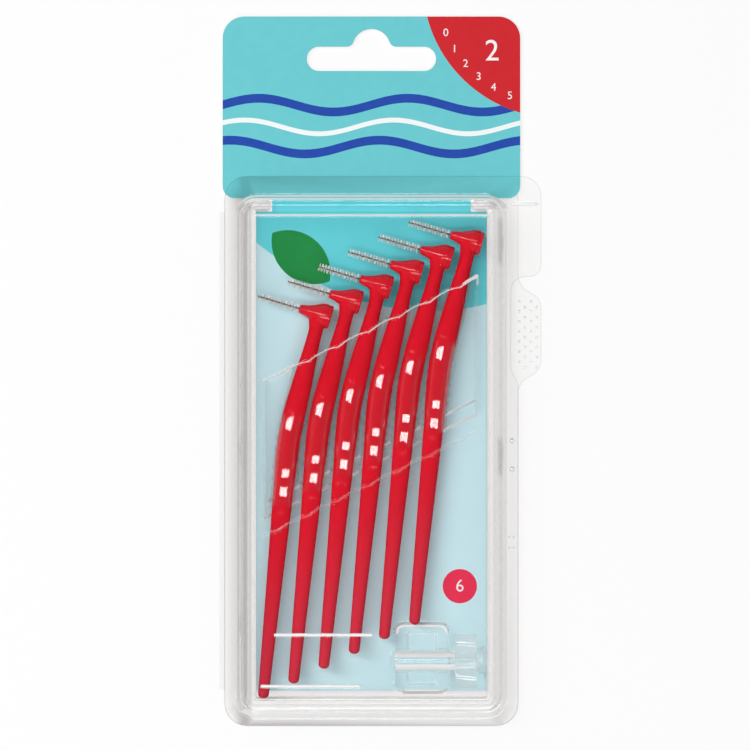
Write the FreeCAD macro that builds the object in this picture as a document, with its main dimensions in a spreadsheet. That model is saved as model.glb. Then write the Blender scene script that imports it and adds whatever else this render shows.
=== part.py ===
"""A set of six angled interdental brushes and a protective cap in a clear hinged case.

Units are millimetres and degrees. The case lies on its back: +X runs across the card, +Y up the
card towards its header and +Z out of the front. The origin is the centre of the whole set's footprint.
Pieces are drawn about the centre of the case box and moved to the origin by their Placement.
"""
import FreeCAD, Part
import math
import os
import re

import Sketcher
from FreeCAD import Placement, Rotation, Vector

BRUSH_COUNT = 6
GAPS = BRUSH_COUNT - 1
DOT_COLUMNS = 3
BUTTON_COUNT = 3
SLOT_END_SHARE = 0.98
TAIL_END_SHARE = 0.9
TOUCH = 1e-6

DRIVING = {
    # Sheet, card and fits
    "sheet_gauge": 0.4,
    "card_thickness": 0.5,
    "fit_gap": 0.3,
    "forming_draft": 8.0,
    # Handle: shaft from the tail to the knee, then the neck up to the head
    "shaft_length": 64.3,
    "shaft_lean": 5.6,
    "neck_length": 30.8,
    "neck_lean": 14.5,
    "tail_width": 2.7,
    "tail_rounding": 1.0,
    "shaft_width": 4.0,
    "shaft_station": 29.0,
    "swell_width": 5.0,
    "swell_station": 49.0,
    "grip_width": 5.7,
    "grip_station": 57.5,
    "knee_width": 5.7,
    "neck_width": 4.8,
    "neck_station": 14.0,
    "throat_width": 3.6,
    "throat_station": 25.5,
    "flare_width": 4.3,
    "flare_shift": 0.5,
    "flare_drop": 1.2,
    # Head, a cone on the wire's axis
    "head_tilt": 16.5,
    "head_front": 5.35,
    "head_rear": 2.85,
    "head_tip_width": 2.2,
    "head_back_width": 5.1,
    "head_body_width": 4.7,
    "head_body_length": 1.5,
    "rim_thickness": 0.9,
    "rim_rounding": 0.35,
    "groove_width": 0.4,
    "groove_depth": 0.35,
    # Wire and bristles
    "wire_width": 0.5,
    "wire_reach": 10.7,
    "wire_embed": 4.5,
    "wire_seat": 0.01,
    "bristle_width": 2.3,
    "bristle_span": 9.9,
    "bristle_end": 0.25,
    "filament_width": 0.09,
    "filament_pitch": 0.25,
    "twist_lead": 1.5,
    # Step from one brush to the next
    "pitch_across": 7.47,
    "pitch_along": 3.65,
    # Tray: channels for the grips, and the cap's cradle
    "seat_rise": 0.5,
    "channel_drop": 0.9,
    "tray_low_station": 45.4,
    "pad_low_station": 40.5,
    "pad_high_station": 20.0,
    "pad_side_gap": 1.0,
    "channel_overrun": 1.0,
    "cradle_gap": 1.2,
    "cradle_width": 13.6,
    "cradle_corner": 2.5,
    "stop_length": 1.6,
    "stop_width": 6.6,
    # Protective cap
    "cap_width": 5.4,
    "cap_wall": 0.6,
    "cap_nose_rounding": 1.8,
    "cap_tube_length": 16.4,
    "cap_overhang": 1.6,
    "collar_length": 5.5,
    "collar_span": 13.2,
    "collar_rounding": 1.2,
    # Case
    "side_margin": 0.9,
    "top_margin": 2.0,
    "bottom_margin": 1.3,
    "tray_play": 0.4,
    "rim_width": 3.2,
    "rim_height": 4.0,
    "box_corner": 5.0,
    "flange_side": 3.0,
    "flange_top": 4.0,
    "flange_bottom": 2.4,
    "flange_corner": 5.6,
    "step_height": 5.5,
    "step_ledge": 2.3,
    "face_draft": 9.0,
    "face_rounding": 1.0,
    "lift_room": 5.6,
    "recess_depth": 0.8,
    "bar_width": 1.0,
    "bar_height": 0.4,
    "upper_bar_length": 24.0,
    "lower_bar_length": 22.0,
    "bar_spacing": 12.4,
    "bar_inset": 1.4,
    "hinge_leg": 0.8,
    "hinge_inset": 9.0,
    # Tabs on the opening side, measured down from the top of the flange
    "tab_reach": 5.7,
    "tab_corner": 4.0,
    "pull_tab_length": 22.5,
    "thumb_tab_start": 27.0,
    "thumb_tab_length": 24.5,
    "thumb_tab_slant": 3.5,
    "thumb_notch": 1.5,
    "dot_width": 0.9,
    "dot_height": 0.25,
    "dot_pitch": 1.55,
    "button_width": 2.0,
    "button_pitch": 20.0,
    # Insert card
    "header_rise": 39.56,
    "header_width": 73.8,
    "header_corner": 5.4,
    "header_foot_corner": 3.0,
    "panel_lift": 1.5,
    "neck_gap": 49.9,
    "slot_width": 32.0,
    "slot_height": 6.0,
    "slot_drop": 10.5,
    "hump_width": 9.4,
    "hump_rise": 2.7,
    "hump_rounding": 1.8,
}

DERIVED = {
    # Brush, from the tail end
    "knee_x": "shaft_length * sin(shaft_lean)",
    "knee_y": "shaft_length * cos(shaft_lean)",
    "head_x": "knee_x + neck_length * sin(neck_lean)",
    "head_y": "knee_y + neck_length * cos(neck_lean)",
    "reach_left": "head_x - (head_front + wire_reach) * cos(head_tilt)",
    "reach_right": "head_x + head_rear * cos(head_tilt) + head_back_width / 2 * sin(head_tilt)",
    "reach_top": "head_y + (head_front + wire_reach) * sin(head_tilt) + bristle_width / 2",
    # Inside of the case, sized to the row of brushes
    "set_width": f"reach_right - reach_left + {GAPS} * pitch_across",
    "set_length": f"reach_top + {GAPS} * pitch_along",
    "room_width": "set_width + 2 * side_margin",
    "room_length": "set_length + top_margin + bottom_margin",
    "rim_outer_width": "room_width + 2 * rim_width",
    "rim_outer_length": "room_length + 2 * rim_width",
    "wall_lean": "rim_height * tan(forming_draft)",
    "wall_width": "rim_outer_width + 2 * (fit_gap + sheet_gauge + wall_lean)",
    "wall_length": "rim_outer_length + 2 * (fit_gap + sheet_gauge + wall_lean)",
    "half_case": "wall_width / 2 + flange_side",
    "case_top": "wall_length / 2 + flange_top",
    "case_bottom": "-(wall_length / 2 + flange_bottom)",
    # Heights, from the surface that the case lies on
    "cover_base": "sheet_gauge + card_thickness",
    "tray_top": "cover_base + sheet_gauge",
    "axis_height": "tray_top + seat_rise + fit_gap + grip_width / 2",
    "channel_top": "axis_height - channel_drop",
    "cover_rise": "axis_height + grip_width / 2 + lift_room + sheet_gauge - cover_base",
    # Places about the centre of the box
    "hinge_radius": "sheet_gauge + card_thickness / 2",
    "hinge_reach": "hinge_leg + hinge_radius",
    "origin_x": "(hinge_reach - tab_reach) / 2",
    "origin_y": "-(case_top + header_rise + case_bottom) / 2",
    "tail_x": "-room_width / 2 + side_margin - reach_left",
    "tail_y": "-room_length / 2 + bottom_margin",
    "tray_foot": "-room_length / 2 + tray_play",
    "pad_slope": "pitch_along / pitch_across",
    "pad_half_width": "room_width / 2 - pad_side_gap",
    "pad_low": "tail_y + pad_low_station * cos(shaft_lean)"
               " - pad_slope * (tail_x + pad_low_station * sin(shaft_lean))",
    "tray_low": "tail_y + tray_low_station * cos(shaft_lean)"
                " - pad_slope * (tail_x + tray_low_station * sin(shaft_lean))",
    "pad_high": "tail_y + knee_y + pad_high_station * cos(neck_lean)"
                " - pad_slope * (tail_x + knee_x + pad_high_station * sin(neck_lean))",
    "cradle_left": f"tail_x + {GAPS - 1} * pitch_across + tail_width / 2 + cradle_gap",
    "cradle_right": "cradle_left + cradle_width",
    "cradle_top": f"tail_y + {GAPS} * pitch_along - cradle_gap",
    "cradle_bottom": "tray_foot + fit_gap",
    "cap_y": "(cradle_top + cradle_bottom) / 2",
    "cap_x": "cradle_left - cap_overhang",
    "cap_height": "tray_top + seat_rise + fit_gap + cap_width / 2",
    "step_width": "wall_width - 2 * step_height * tan(forming_draft) - 2 * step_ledge",
    "step_length": "wall_length - 2 * step_height * tan(forming_draft) - 2 * step_ledge",
    "step_corner": "box_corner - step_height * tan(forming_draft) - step_ledge / 2",
    "face_width": "step_width - 2 * (cover_rise - step_height) * tan(face_draft)",
    "face_length": "step_length - 2 * (cover_rise - step_height) * tan(face_draft)",
    "tab_x": "half_case + tab_reach",
    "thumb_high": "case_top - thumb_tab_start",
    "thumb_low": "thumb_high - thumb_tab_length",
    "header_foot": "wall_length / 2",
    "header_top": "case_top + header_rise",
    "panel_width": "room_width - 2 * tray_play",
    "panel_foot": "tray_foot + panel_lift",
    "slot_y": "header_top - slot_drop",
}

doc = FreeCAD.newDocument("InterdentalBrushSet")
sizes = doc.addObject("Spreadsheet::Sheet", "Sizes")
for row, (name, value) in enumerate({**DRIVING, **DERIVED}.items(), start=1):
    sizes.set(f"A{row}", name)
    sizes.set(f"B{row}", f"={value}" if name in DERIVED else str(value))
    sizes.setAlias(f"B{row}", name)
doc.recompute()


def linked(formula):
    """Make a formula in plain size names read the sheet's cells."""
    return re.sub(r"[a-z_]+", lambda word: sizes_name(word.group()), formula)


def sizes_name(word):
    return f"Sizes.{word}" if word in DRIVING or word in DERIVED else word


def number(formula):
    return float(sizes.evalExpression(linked(formula)))


def bind(item, **formulas):
    """Tie properties to formulas; a double underscore in a name stands for a dot."""
    for name, formula in formulas.items():
        item.setExpression(name.replace("__", "."), linked(formula))


def new_body(name):
    body = doc.addObject("PartDesign::Body", name)
    body.Label = name
    return body


def place(item, x="origin_x", y="origin_y", z="0"):
    bind(item, Placement__Base__x=x, Placement__Base__y=y, Placement__Base__z=z)


def new_sketch(body, name, role="XY_Plane", x="0", y="0", z="0"):
    """A sketch on one of the body's own planes, moved by x, y and z in that plane's axes."""
    sketch = body.newObject("Sketcher::SketchObject", name)
    plane = next(item for item in body.Origin.OriginFeatures if item.Role == role)
    sketch.AttachmentSupport = [(plane, "")]
    sketch.MapMode = "FlatFace"
    bind(sketch, AttachmentOffset__Base__x=x, AttachmentOffset__Base__y=y, AttachmentOffset__Base__z=z)
    return sketch


def turn(sketch, axis, formula):
    sketch.AttachmentOffset = Placement(sketch.AttachmentOffset.Base, Rotation(axis, number(formula)))
    bind(sketch, AttachmentOffset__Rotation__Angle=formula)


def dimension(sketch, kind, references, formula):
    index = sketch.addConstraint(Sketcher.Constraint(kind, *references, number(formula)))
    sketch.setExpression(f"Constraints[{index}]", linked(formula))


def fix_point(sketch, geometry, position, x, y):
    """Hold a point at (x, y); a coordinate of 0 lies on the sketch's own axis."""
    for kind, axis, formula in (("DistanceX", -2, x), ("DistanceY", -1, y)):
        if formula == "0":
            sketch.addConstraint(Sketcher.Constraint("PointOnObject", geometry, position, axis))
        else:
            dimension(sketch, kind, (-1, 1, geometry, position), formula)


def outline(sketch, corners):
    """Draw a closed outline through (x, y) or (x, y, corner radius) formulas."""
    points = [Vector(number(corner[0]), number(corner[1]), 0) for corner in corners]
    count = len(corners)
    radii = [number(corner[2]) if len(corner) == 3 else 0 for corner in corners]
    trims = []
    for k, point in enumerate(points):
        back = (points[k - 1] - point).normalize()
        ahead = (points[(k + 1) % count] - point).normalize()
        half_angle = back.getAngle(ahead) / 2
        trim = radii[k] / math.tan(half_angle)
        centre = point + (back + ahead).normalize() * (radii[k] / math.sin(half_angle))
        trims.append((point + back * trim, point + ahead * trim, centre))
    first = sketch.GeometryCount
    for k in range(count):
        sketch.addGeometry(Part.LineSegment(trims[k][1], trims[(k + 1) % count][0]), False)
    for k, corner in enumerate(corners):
        before = first + (k - 1) % count
        after = first + k
        if not radii[k]:
            sketch.addConstraint(Sketcher.Constraint("Coincident", before, 2, after, 1))
            fix_point(sketch, after, 1, corner[0], corner[1])
            continue
        start, end, centre = trims[k]
        middle = centre + (points[k] - centre).normalize() * radii[k]
        arc = sketch.addGeometry(Part.Arc(start, middle, end), False)
        clockwise = (start - points[k]).cross(end - points[k]).z > 0
        arc_start, arc_end = (2, 1) if clockwise else (1, 2)
        sketch.addConstraint(Sketcher.Constraint("Tangent", before, 2, arc, arc_start))
        sketch.addConstraint(Sketcher.Constraint("Tangent", after, 1, arc, arc_end))
        dimension(sketch, "Radius", (arc,), corner[2])
        peg = sketch.addGeometry(Part.Point(points[k]), True)
        sketch.addConstraint(Sketcher.Constraint("PointOnObject", peg, 1, before))
        sketch.addConstraint(Sketcher.Constraint("PointOnObject", peg, 1, after))
        fix_point(sketch, peg, 1, corner[0], corner[1])


def rectangle(left, bottom, right, top, *radius):
    return [(left, bottom, *radius), (right, bottom, *radius), (right, top, *radius), (left, top, *radius)]


def centred(width, length, *radius):
    half_width, half_length = f"({width}) / 2", f"({length}) / 2"
    return rectangle(f"-{half_width}", f"-{half_length}", half_width, half_length, *radius)


def circle(sketch, x, y, width):
    centre = Vector(number(x), number(y), 0)
    index = sketch.addGeometry(Part.Circle(centre, Vector(0, 0, 1), number(width) / 2), False)
    fix_point(sketch, index, 3, x, y)
    dimension(sketch, "Diameter", (index,), width)


def extrude(body, kind, sketch, length, taper=None, upward=True):
    """Pad or pocket a sketch along +Z of its plane; a taper narrows it on the way."""
    feature = body.newObject(f"PartDesign::{kind}", f"{sketch.Name}{kind}")
    feature.Profile = sketch
    feature.Reversed = upward == (kind == "Pocket")
    bind(feature, Length=length)
    if taper:
        bind(feature, TaperAngle=f"-{taper}")
    return feature


def revolve(body, kind, sketch):
    feature = body.newObject(f"PartDesign::{kind}", f"{sketch.Name}{kind}")
    feature.Profile = sketch
    feature.ReferenceAxis = (sketch, ["H_Axis"])
    feature.Angle = 360
    return feature


def round_edges(body, name, chosen, radius):
    """Fillet the edges of the body's last feature that the test picks."""
    doc.recompute()
    base = body.Tip
    edges = [f"Edge{k}" for k, edge in enumerate(base.Shape.Edges, start=1) if chosen(edge)]
    fillet = body.newObject("PartDesign::Fillet", name)
    fillet.Base = (base, edges)
    bind(fillet, Radius=radius)
    return fillet


def at_height(level):
    """A test for edges that lie in the plane at this height."""
    return lambda edge: max(abs(edge.BoundBox.ZMin - level), abs(edge.BoundBox.ZMax - level)) < TOUCH


def solid(kind, name, **formulas):
    item = doc.addObject(f"Part::{kind}", name)
    bind(item, **formulas)
    return item


def point_along(item, direction):
    """Turn a solid's own +Z to a direction."""
    item.Placement = Placement(item.Placement.Base, Rotation(Vector(0, 0, 1), direction))


def joined(name, items):
    fuse = doc.addObject("Part::MultiFuse", name)
    fuse.Shapes = items
    return fuse


def cut(name, base, tool):
    item = doc.addObject("Part::Cut", name)
    item.Base = base
    item.Tool = tool
    return item


def direction(lean):
    return Vector(math.sin(math.radians(number(lean))), math.cos(math.radians(number(lean))), 0)


# Clear case
def rim_outline(inset):
    """The raised rim: a U with short returns that leave a gap for the card's neck."""
    outer_x = f"(rim_outer_width / 2 - {inset})"
    outer_y = f"(rim_outer_length / 2 - {inset})"
    inner_x = f"(room_width / 2 + {inset})"
    inner_y = f"(room_length / 2 + {inset})"
    gap_x = f"(neck_gap / 2 + {inset})"
    outer = f"box_corner - fit_gap - sheet_gauge - {inset}"
    inner = f"(box_corner - rim_width) / 2 + {inset}"
    right = [(outer_x, f"-{outer_y}", outer), (outer_x, outer_y, outer), (gap_x, outer_y),
             (gap_x, inner_y), (inner_x, inner_y, inner), (inner_x, f"-{inner_y}", inner)]
    left = [(f"-{corner[0]}", *corner[1:]) for corner in reversed(right)]
    return right + left


def make_back_shell():
    body = new_body("back_shell")
    panel = new_sketch(body, "BackPanel")
    outline(panel, [
        ("-half_case", "case_bottom", "flange_corner"),
        ("half_case", "case_bottom", "flange_corner"),
        ("half_case", "thumb_low", "tab_corner"),
        ("tab_x", "thumb_low + thumb_tab_slant", "tab_corner"),
        ("tab_x", "thumb_high - thumb_tab_slant", "tab_corner"),
        ("half_case", "thumb_high", "tab_corner"),
        ("half_case", "case_top", "flange_corner"),
        ("-half_case", "case_top", "flange_corner"),
    ])
    extrude(body, "Pad", panel, "sheet_gauge")
    rim = new_sketch(body, "BackRim", z="sheet_gauge")
    outline(rim, rim_outline("0"))
    extrude(body, "Pad", rim, "rim_height")
    hollow = new_sketch(body, "BackRimHollow")
    outline(hollow, rim_outline("sheet_gauge"))
    extrude(body, "Pocket", hollow, "rim_height")
    dots = new_sketch(body, "ThumbDots", z="sheet_gauge")
    rows = int((number("thumb_tab_length") - 2 * number("thumb_tab_slant")) / number("dot_pitch"))
    for column in range(DOT_COLUMNS):
        stagger = column % 2
        for step in range(rows - stagger):
            circle(dots, f"tab_x - {column + 1} * dot_pitch",
                   f"thumb_low + thumb_tab_slant + ({step} + {1 + stagger} / 2) * dot_pitch", "dot_width")
    extrude(body, "Pad", dots, "dot_height")
    buttons = new_sketch(body, "FlangeButtons", z="sheet_gauge")
    for step in range(1, BUTTON_COUNT + 1):
        circle(buttons, "half_case - flange_side / 2", f"case_bottom + {step} * button_pitch", "button_width")
    extrude(body, "Pad", buttons, "card_thickness")
    place(body)
    return body


def pad_outline(foot, grow):
    """A slanted pad across the grips, which follows the step from brush to brush."""
    half = f"(pad_half_width + {grow})"
    rise = f"{grow} * sqrt(1 + pad_slope ^ 2)"
    low, high = f"({foot} - {rise})", f"(pad_high + {rise})"
    return [(f"-{half}", f"{low} - pad_slope * {half}"), (half, f"{low} + pad_slope * {half}"),
            (half, f"{high} + pad_slope * {half}"), (f"-{half}", f"{high} - pad_slope * {half}")]


def make_front_cover():
    body = new_body("front_cover")
    flange = new_sketch(body, "CoverFlange")
    outline(flange, [
        ("-half_case", "case_bottom", "flange_corner"),
        ("half_case", "case_bottom", "flange_corner"),
        ("half_case", "thumb_low", "tab_corner"),
        ("half_case - thumb_notch", "thumb_low + thumb_tab_slant", "tab_corner"),
        ("half_case - thumb_notch", "thumb_high - thumb_tab_slant", "tab_corner"),
        ("tab_x", "case_top - pull_tab_length", "tab_corner"),
        ("tab_x", "case_top", "tab_corner"),
        ("-half_case", "case_top", "flange_corner"),
    ])
    extrude(body, "Pad", flange, "sheet_gauge")
    step = new_sketch(body, "CoverStep")
    outline(step, centred("wall_width", "wall_length", "box_corner"))
    extrude(body, "Pad", step, "step_height", "forming_draft")
    face = new_sketch(body, "CoverFace", z="step_height")
    outline(face, centred("step_width", "step_length", "step_corner"))
    extrude(body, "Pad", face, "cover_rise - step_height", "face_draft")
    round_edges(body, "CoverRounding", at_height(number("cover_rise")), "face_rounding")
    recess = new_sketch(body, "CoverRecess", z="cover_rise")
    outline(recess, pad_outline("pad_low", "0"))
    extrude(body, "Pocket", recess, "recess_depth", upward=False)
    bars = new_sketch(body, "CoverBars", z="cover_rise")
    bar_left = "-face_width / 2 + face_rounding + bar_inset"
    for level, length in (("0", "lower_bar_length"), ("bar_spacing", "upper_bar_length")):
        bar_bottom = f"-face_length / 2 + face_rounding + bar_inset + {level}"
        outline(bars, rectangle(bar_left, bar_bottom, f"{bar_left} + {length}", f"{bar_bottom} + bar_width"))
    extrude(body, "Pad", bars, "bar_height")
    room = new_sketch(body, "CoverStepRoom")
    outline(room, centred("wall_width - 2 * sheet_gauge", "wall_length - 2 * sheet_gauge",
                          "box_corner - sheet_gauge"))
    extrude(body, "Pocket", room, "step_height - sheet_gauge", "forming_draft")
    face_size = ("step_width - 2 * sheet_gauge", "step_length - 2 * sheet_gauge", "step_corner - sheet_gauge")
    low_room = new_sketch(body, "CoverFaceRoom", z="step_height - sheet_gauge")
    outline(low_room, centred(*face_size))
    extrude(body, "Pocket", low_room, "cover_rise - step_height - recess_depth", "face_draft")
    run = "2 * (cover_rise - step_height - recess_depth) * tan(face_draft)"
    high_room = new_sketch(body, "CoverHighRoom", z="cover_rise - sheet_gauge - recess_depth")
    outline(high_room, centred(f"{face_size[0]} - {run}", f"{face_size[1]} - {run}",
                               f"{face_size[2]} - {run} / 2"))
    outline(high_room, pad_outline("pad_low", "sheet_gauge"))
    extrude(body, "Pocket", high_room, "recess_depth")
    place(body, z="cover_base")
    return body


def make_living_hinge():
    run = "case_top - case_bottom - 2 * hinge_inset"
    bead = solid("Cylinder", "HingeBead", Radius="hinge_radius", Height=run)
    fold = solid("Cylinder", "HingeFold", Radius="card_thickness / 2", Height=run)
    legs = solid("Box", "HingeLegs", Length="hinge_leg", Width=run, Height="2 * hinge_radius")
    slit = solid("Box", "HingeSlit", Length="hinge_leg", Width=run, Height="card_thickness")
    for item, height in ((bead, "hinge_radius"), (fold, "hinge_radius"), (legs, "0"), (slit, "sheet_gauge")):
        place(item, "-half_case - hinge_leg", "case_bottom + hinge_inset", height)
    for item in (bead, fold):
        point_along(item, Vector(0, 1, 0))
    hinge = cut("living_hinge", joined("HingeOuter", [bead, legs]), joined("HingeInner", [fold, slit]))
    place(hinge)
    return hinge


def make_insert_card():
    body = new_body("insert_card")
    board = new_sketch(body, "CardBoard", z="sheet_gauge")
    right = [("panel_width / 2", "panel_foot"), ("panel_width / 2", "-tray_foot"),
             ("neck_gap / 2 - fit_gap", "-tray_foot"), ("neck_gap / 2 - fit_gap", "header_foot"),
             ("header_width / 2", "header_foot", "header_foot_corner"),
             ("header_width / 2", "header_top", "header_corner")]
    left = [(f"-({corner[0]})", *corner[1:]) for corner in reversed(right)]
    outline(board, right + left)
    extrude(body, "Pad", board, "card_thickness")
    hump = new_sketch(body, "HangHump", z="sheet_gauge")
    circle(hump, "0", "slot_y + hump_rise", "hump_width")
    extrude(body, "Pocket", hump, "card_thickness")
    slot = new_sketch(body, "HangSlot", z="sheet_gauge")
    outline(slot, rectangle("-slot_width / 2", "slot_y - slot_height / 2", "slot_width / 2",
                            "slot_y + slot_height / 2", f"slot_height / 2 * {SLOT_END_SHARE}"))
    extrude(body, "Pocket", slot, "card_thickness")
    shoulder = number("slot_y + slot_height / 2")
    round_edges(body, "HangShoulders", lambda edge: edge.BoundBox.ZLength > TOUCH
                and abs(edge.BoundBox.YMin - shoulder) < TOUCH and edge.BoundBox.YLength < TOUCH
                and abs(edge.BoundBox.XMin) < number("hump_width / 2"), "hump_rounding")
    place(body)
    return body


def make_brush_tray():
    """The clear insert: a sheet with a hollow pad whose channels carry the grips and the cap."""
    blank = new_body("TrayBlank")
    sheet = new_sketch(blank, "TraySheet", z="cover_base")
    outline(sheet, rectangle("-panel_width / 2", "tray_foot", "panel_width / 2", "-tray_foot"))
    extrude(blank, "Pad", sheet, "sheet_gauge")
    hollow = new_body("TrayHollow")
    layers = ((blank, "0", "cover_base + sheet_gauge / 2"), (hollow, "-sheet_gauge", "cover_base"))
    for body, grow, bottom in layers:
        top = f"channel_top + {grow}"
        blocks = new_sketch(body, f"{body.Name}Blocks", z=bottom)
        outline(blocks, pad_outline("tray_low", grow))
        outline(blocks, rectangle(f"cradle_left - ({grow})", f"cradle_bottom - ({grow})",
                                  f"cradle_right + ({grow})", f"cradle_top + ({grow})",
                                  f"cradle_corner + {grow}"))
        stop = "cap_x + cap_tube_length + collar_length + fit_gap"
        outline(blocks, rectangle(f"{stop} - ({grow})", f"cap_y - stop_width / 2 - ({grow})",
                                  f"{stop} + stop_length + ({grow})", f"cap_y + stop_width / 2 + {grow}"))
        extrude(body, "Pad", blocks, f"{top} - ({bottom})")
    channels, skins = [], []
    for group, name, grow in ((channels, "Channel", "fit_gap"), (skins, "Skin", "fit_gap + sheet_gauge")):
        for index in range(BRUSH_COUNT):
            foot_x = f"tail_x + {index} * pitch_across"
            foot_y = f"tail_y + {index} * pitch_along"
            shaft = solid("Cylinder", f"Shaft{name}{index + 1}", Radius=f"grip_width / 2 + {grow}",
                          Height="shaft_length + channel_overrun")
            place(shaft, foot_x, foot_y, "axis_height")
            point_along(shaft, direction("shaft_lean"))
            neck = solid("Cylinder", f"Neck{name}{index + 1}", Radius=f"knee_width / 2 + {grow}",
                         Height="neck_length")
            place(neck, f"{foot_x} + knee_x", f"{foot_y} + knee_y", "axis_height")
            point_along(neck, direction("neck_lean"))
            group += [shaft, neck]
        tube = solid("Cylinder", f"Cap{name}", Radius=f"cap_width / 2 + {grow}",
                     Height="cap_overhang + cap_tube_length")
        place(tube, "cap_x - cap_overhang", "cap_y", "cap_height")
        point_along(tube, Vector(1, 0, 0))
        group.append(tube)
    formed = cut("TrayFormed", blank, joined("Channels", channels))
    underside = cut("TrayUnderside", hollow, joined("Skins", skins))
    tray = cut("brush_tray", formed, underside)
    place(tray)
    return tray


# Brushes and cap
def handle_stations():
    """Named sections of the handle as (x, y, lean, width, steps from the section before)."""
    shaft = [("0", "tail_width", 1), ("shaft_station", "shaft_width", 6), ("swell_station", "swell_width", 4),
             ("grip_station", "grip_width", 2)]
    stations = [(f"{along} * sin(shaft_lean)", f"{along} * cos(shaft_lean)", "shaft_lean", width, steps)
                for along, width, steps in shaft]
    stations.append(("knee_x", "knee_y", "(shaft_lean + neck_lean) / 2", "knee_width", 2))
    neck = [("neck_station", "0", "neck_width", 3), ("throat_station", "0", "throat_width", 3),
            ("(neck_length - flare_drop)", "flare_shift", "flare_width", 1)]
    stations += [(f"knee_x + {along} * sin(neck_lean) - {shift} * cos(neck_lean)",
                  f"knee_y + {along} * cos(neck_lean) + {shift} * sin(neck_lean)", "neck_lean", width, steps)
                 for along, shift, width, steps in neck]
    return stations


def handle_sections(body, name):
    """Round sections at even steps between the named ones, square to the shaft and then to the neck."""
    stations = handle_stations()
    sketches = []
    for before, station in zip(stations[:1] + stations, stations):
        steps = station[4]
        for step in range(1, steps + 1):
            x, y, lean, width = (f"({a}) + (({b}) - ({a})) * {step} / {steps}"
                                 for a, b in zip(before[:4], station[:4]))
            sketch = new_sketch(body, f"{name}Section{len(sketches)}", "XZ_Plane", x=x, z=f"-({y})")
            turn(sketch, Vector(0, 1, 0), f"-({lean})")
            circle(sketch, "0", "0", width)
            sketches.append(sketch)
    return sketches


def head_sketch(body, name):
    """A sketch whose H axis is the wire's axis, from the neck towards the tip."""
    sketch = new_sketch(body, name, x="head_x", y="head_y")
    turn(sketch, Vector(0, 0, 1), "180 - head_tilt")
    return sketch


def make_handle(index):
    name = f"Handle{index + 1}"
    body = new_body(f"handle_{index + 1}")
    tail = new_sketch(body, f"{name}Tail")
    turn(tail, Vector(0, 0, 1), "90 - shaft_lean")
    outline(tail, [("-tail_rounding", "0"), ("0", "0"), ("0", "tail_width / 2"),
                   ("-tail_rounding", "tail_width / 2", f"tail_rounding * {TAIL_END_SHARE}")])
    revolve(body, "Revolution", tail)
    sections = handle_sections(body, name)
    shaft = body.newObject("PartDesign::AdditiveLoft", f"{name}Shaft")
    shaft.Profile = sections[0]
    shaft.Sections = sections[1:]
    head = head_sketch(body, f"{name}Head")
    rim_end = "-head_rear + rim_thickness"
    groove_end = f"{rim_end} + groove_width"
    outline(head, [
        ("-head_rear", "0"),
        ("head_front", "0"),
        ("head_front", "head_tip_width / 2", "rim_rounding"),
        (f"{groove_end} + head_body_length", "head_body_width / 2", "head_body_length"),
        (groove_end, "head_body_width / 2"),
        (groove_end, "head_body_width / 2 - groove_depth"),
        (rim_end, "head_body_width / 2 - groove_depth"),
        (rim_end, "head_back_width / 2"),
        ("-head_rear", "head_back_width / 2", "rim_rounding"),
    ])
    revolve(body, "Revolution", head)
    socket = head_sketch(body, f"{name}Socket")
    outline(socket, rectangle("head_front - wire_embed - wire_seat", "0", "head_front + head_tip_width",
                              "wire_width / 2 + wire_seat"))
    revolve(body, "Groove", socket)
    place(body, f"origin_x + tail_x + {index} * pitch_across", f"origin_y + tail_y + {index} * pitch_along",
          "axis_height")
    return body


def wire_direction():
    tilt = math.radians(number("head_tilt"))
    return Vector(-math.cos(tilt), math.sin(tilt), 0)


def make_wire(index):
    wire = solid("Cylinder", f"wire_{index + 1}", Radius="wire_width / 2", Height="wire_embed + wire_reach")
    start = "(head_front - wire_embed)"
    place(wire, f"origin_x + tail_x + {index} * pitch_across + head_x - {start} * cos(head_tilt)",
          f"origin_y + tail_y + {index} * pitch_along + head_y + {start} * sin(head_tilt)", "axis_height")
    point_along(wire, wire_direction())
    return wire


def make_bristles(index):
    """Filaments clamped through the wire, turning with its twist."""
    count = int(number("bristle_span / filament_pitch"))
    length = number("bristle_width")
    filaments = []
    for step in range(count):
        along = step * number("filament_pitch")
        angle = 2 * math.pi * along / number("twist_lead")
        across = Vector(math.cos(angle), math.sin(angle), 0)
        foot = Vector(0, 0, -along) - across * (length / 2)
        filaments.append(Part.makeCylinder(number("filament_width / 2"), length, foot, across))
    bristles = doc.addObject("Part::Feature", f"bristles_{index + 1}")
    bristles.Shape = Part.makeCompound(filaments)
    reach = "(head_front + wire_reach - bristle_end)"
    place(bristles, f"origin_x + tail_x + {index} * pitch_across + head_x - {reach} * cos(head_tilt)",
          f"origin_y + tail_y + {index} * pitch_along + head_y + {reach} * sin(head_tilt)", "axis_height")
    point_along(bristles, wire_direction())
    return bristles


def make_cap():
    body = new_body("protective_cap")
    tube = new_sketch(body, "CapTube")
    outline(tube, [("0", "0"), ("cap_tube_length", "0"), ("cap_tube_length", "cap_width / 2"),
                   ("0", "cap_width / 2", "cap_nose_rounding")])
    revolve(body, "Revolution", tube)
    collar = new_sketch(body, "CapCollar", "YZ_Plane", z="cap_tube_length")
    outline(collar, centred("collar_span", "cap_width", "collar_rounding"))
    extrude(body, "Pad", collar, "collar_length")
    bore = new_sketch(body, "CapBore")
    outline(bore, rectangle("cap_wall", "0", "cap_tube_length + collar_length + cap_wall",
                            "cap_width / 2 - cap_wall"))
    revolve(body, "Groove", bore)
    place(body, "origin_x + cap_x", "origin_y + cap_y", "cap_height")
    return body


parts = [make_back_shell(), make_front_cover(), make_living_hinge()]
parts += [make_insert_card(), make_brush_tray(), make_cap()]
for maker in (make_handle, make_wire, make_bristles):
    parts += [maker(index) for index in range(BRUSH_COUNT)]
doc.recompute()

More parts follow.
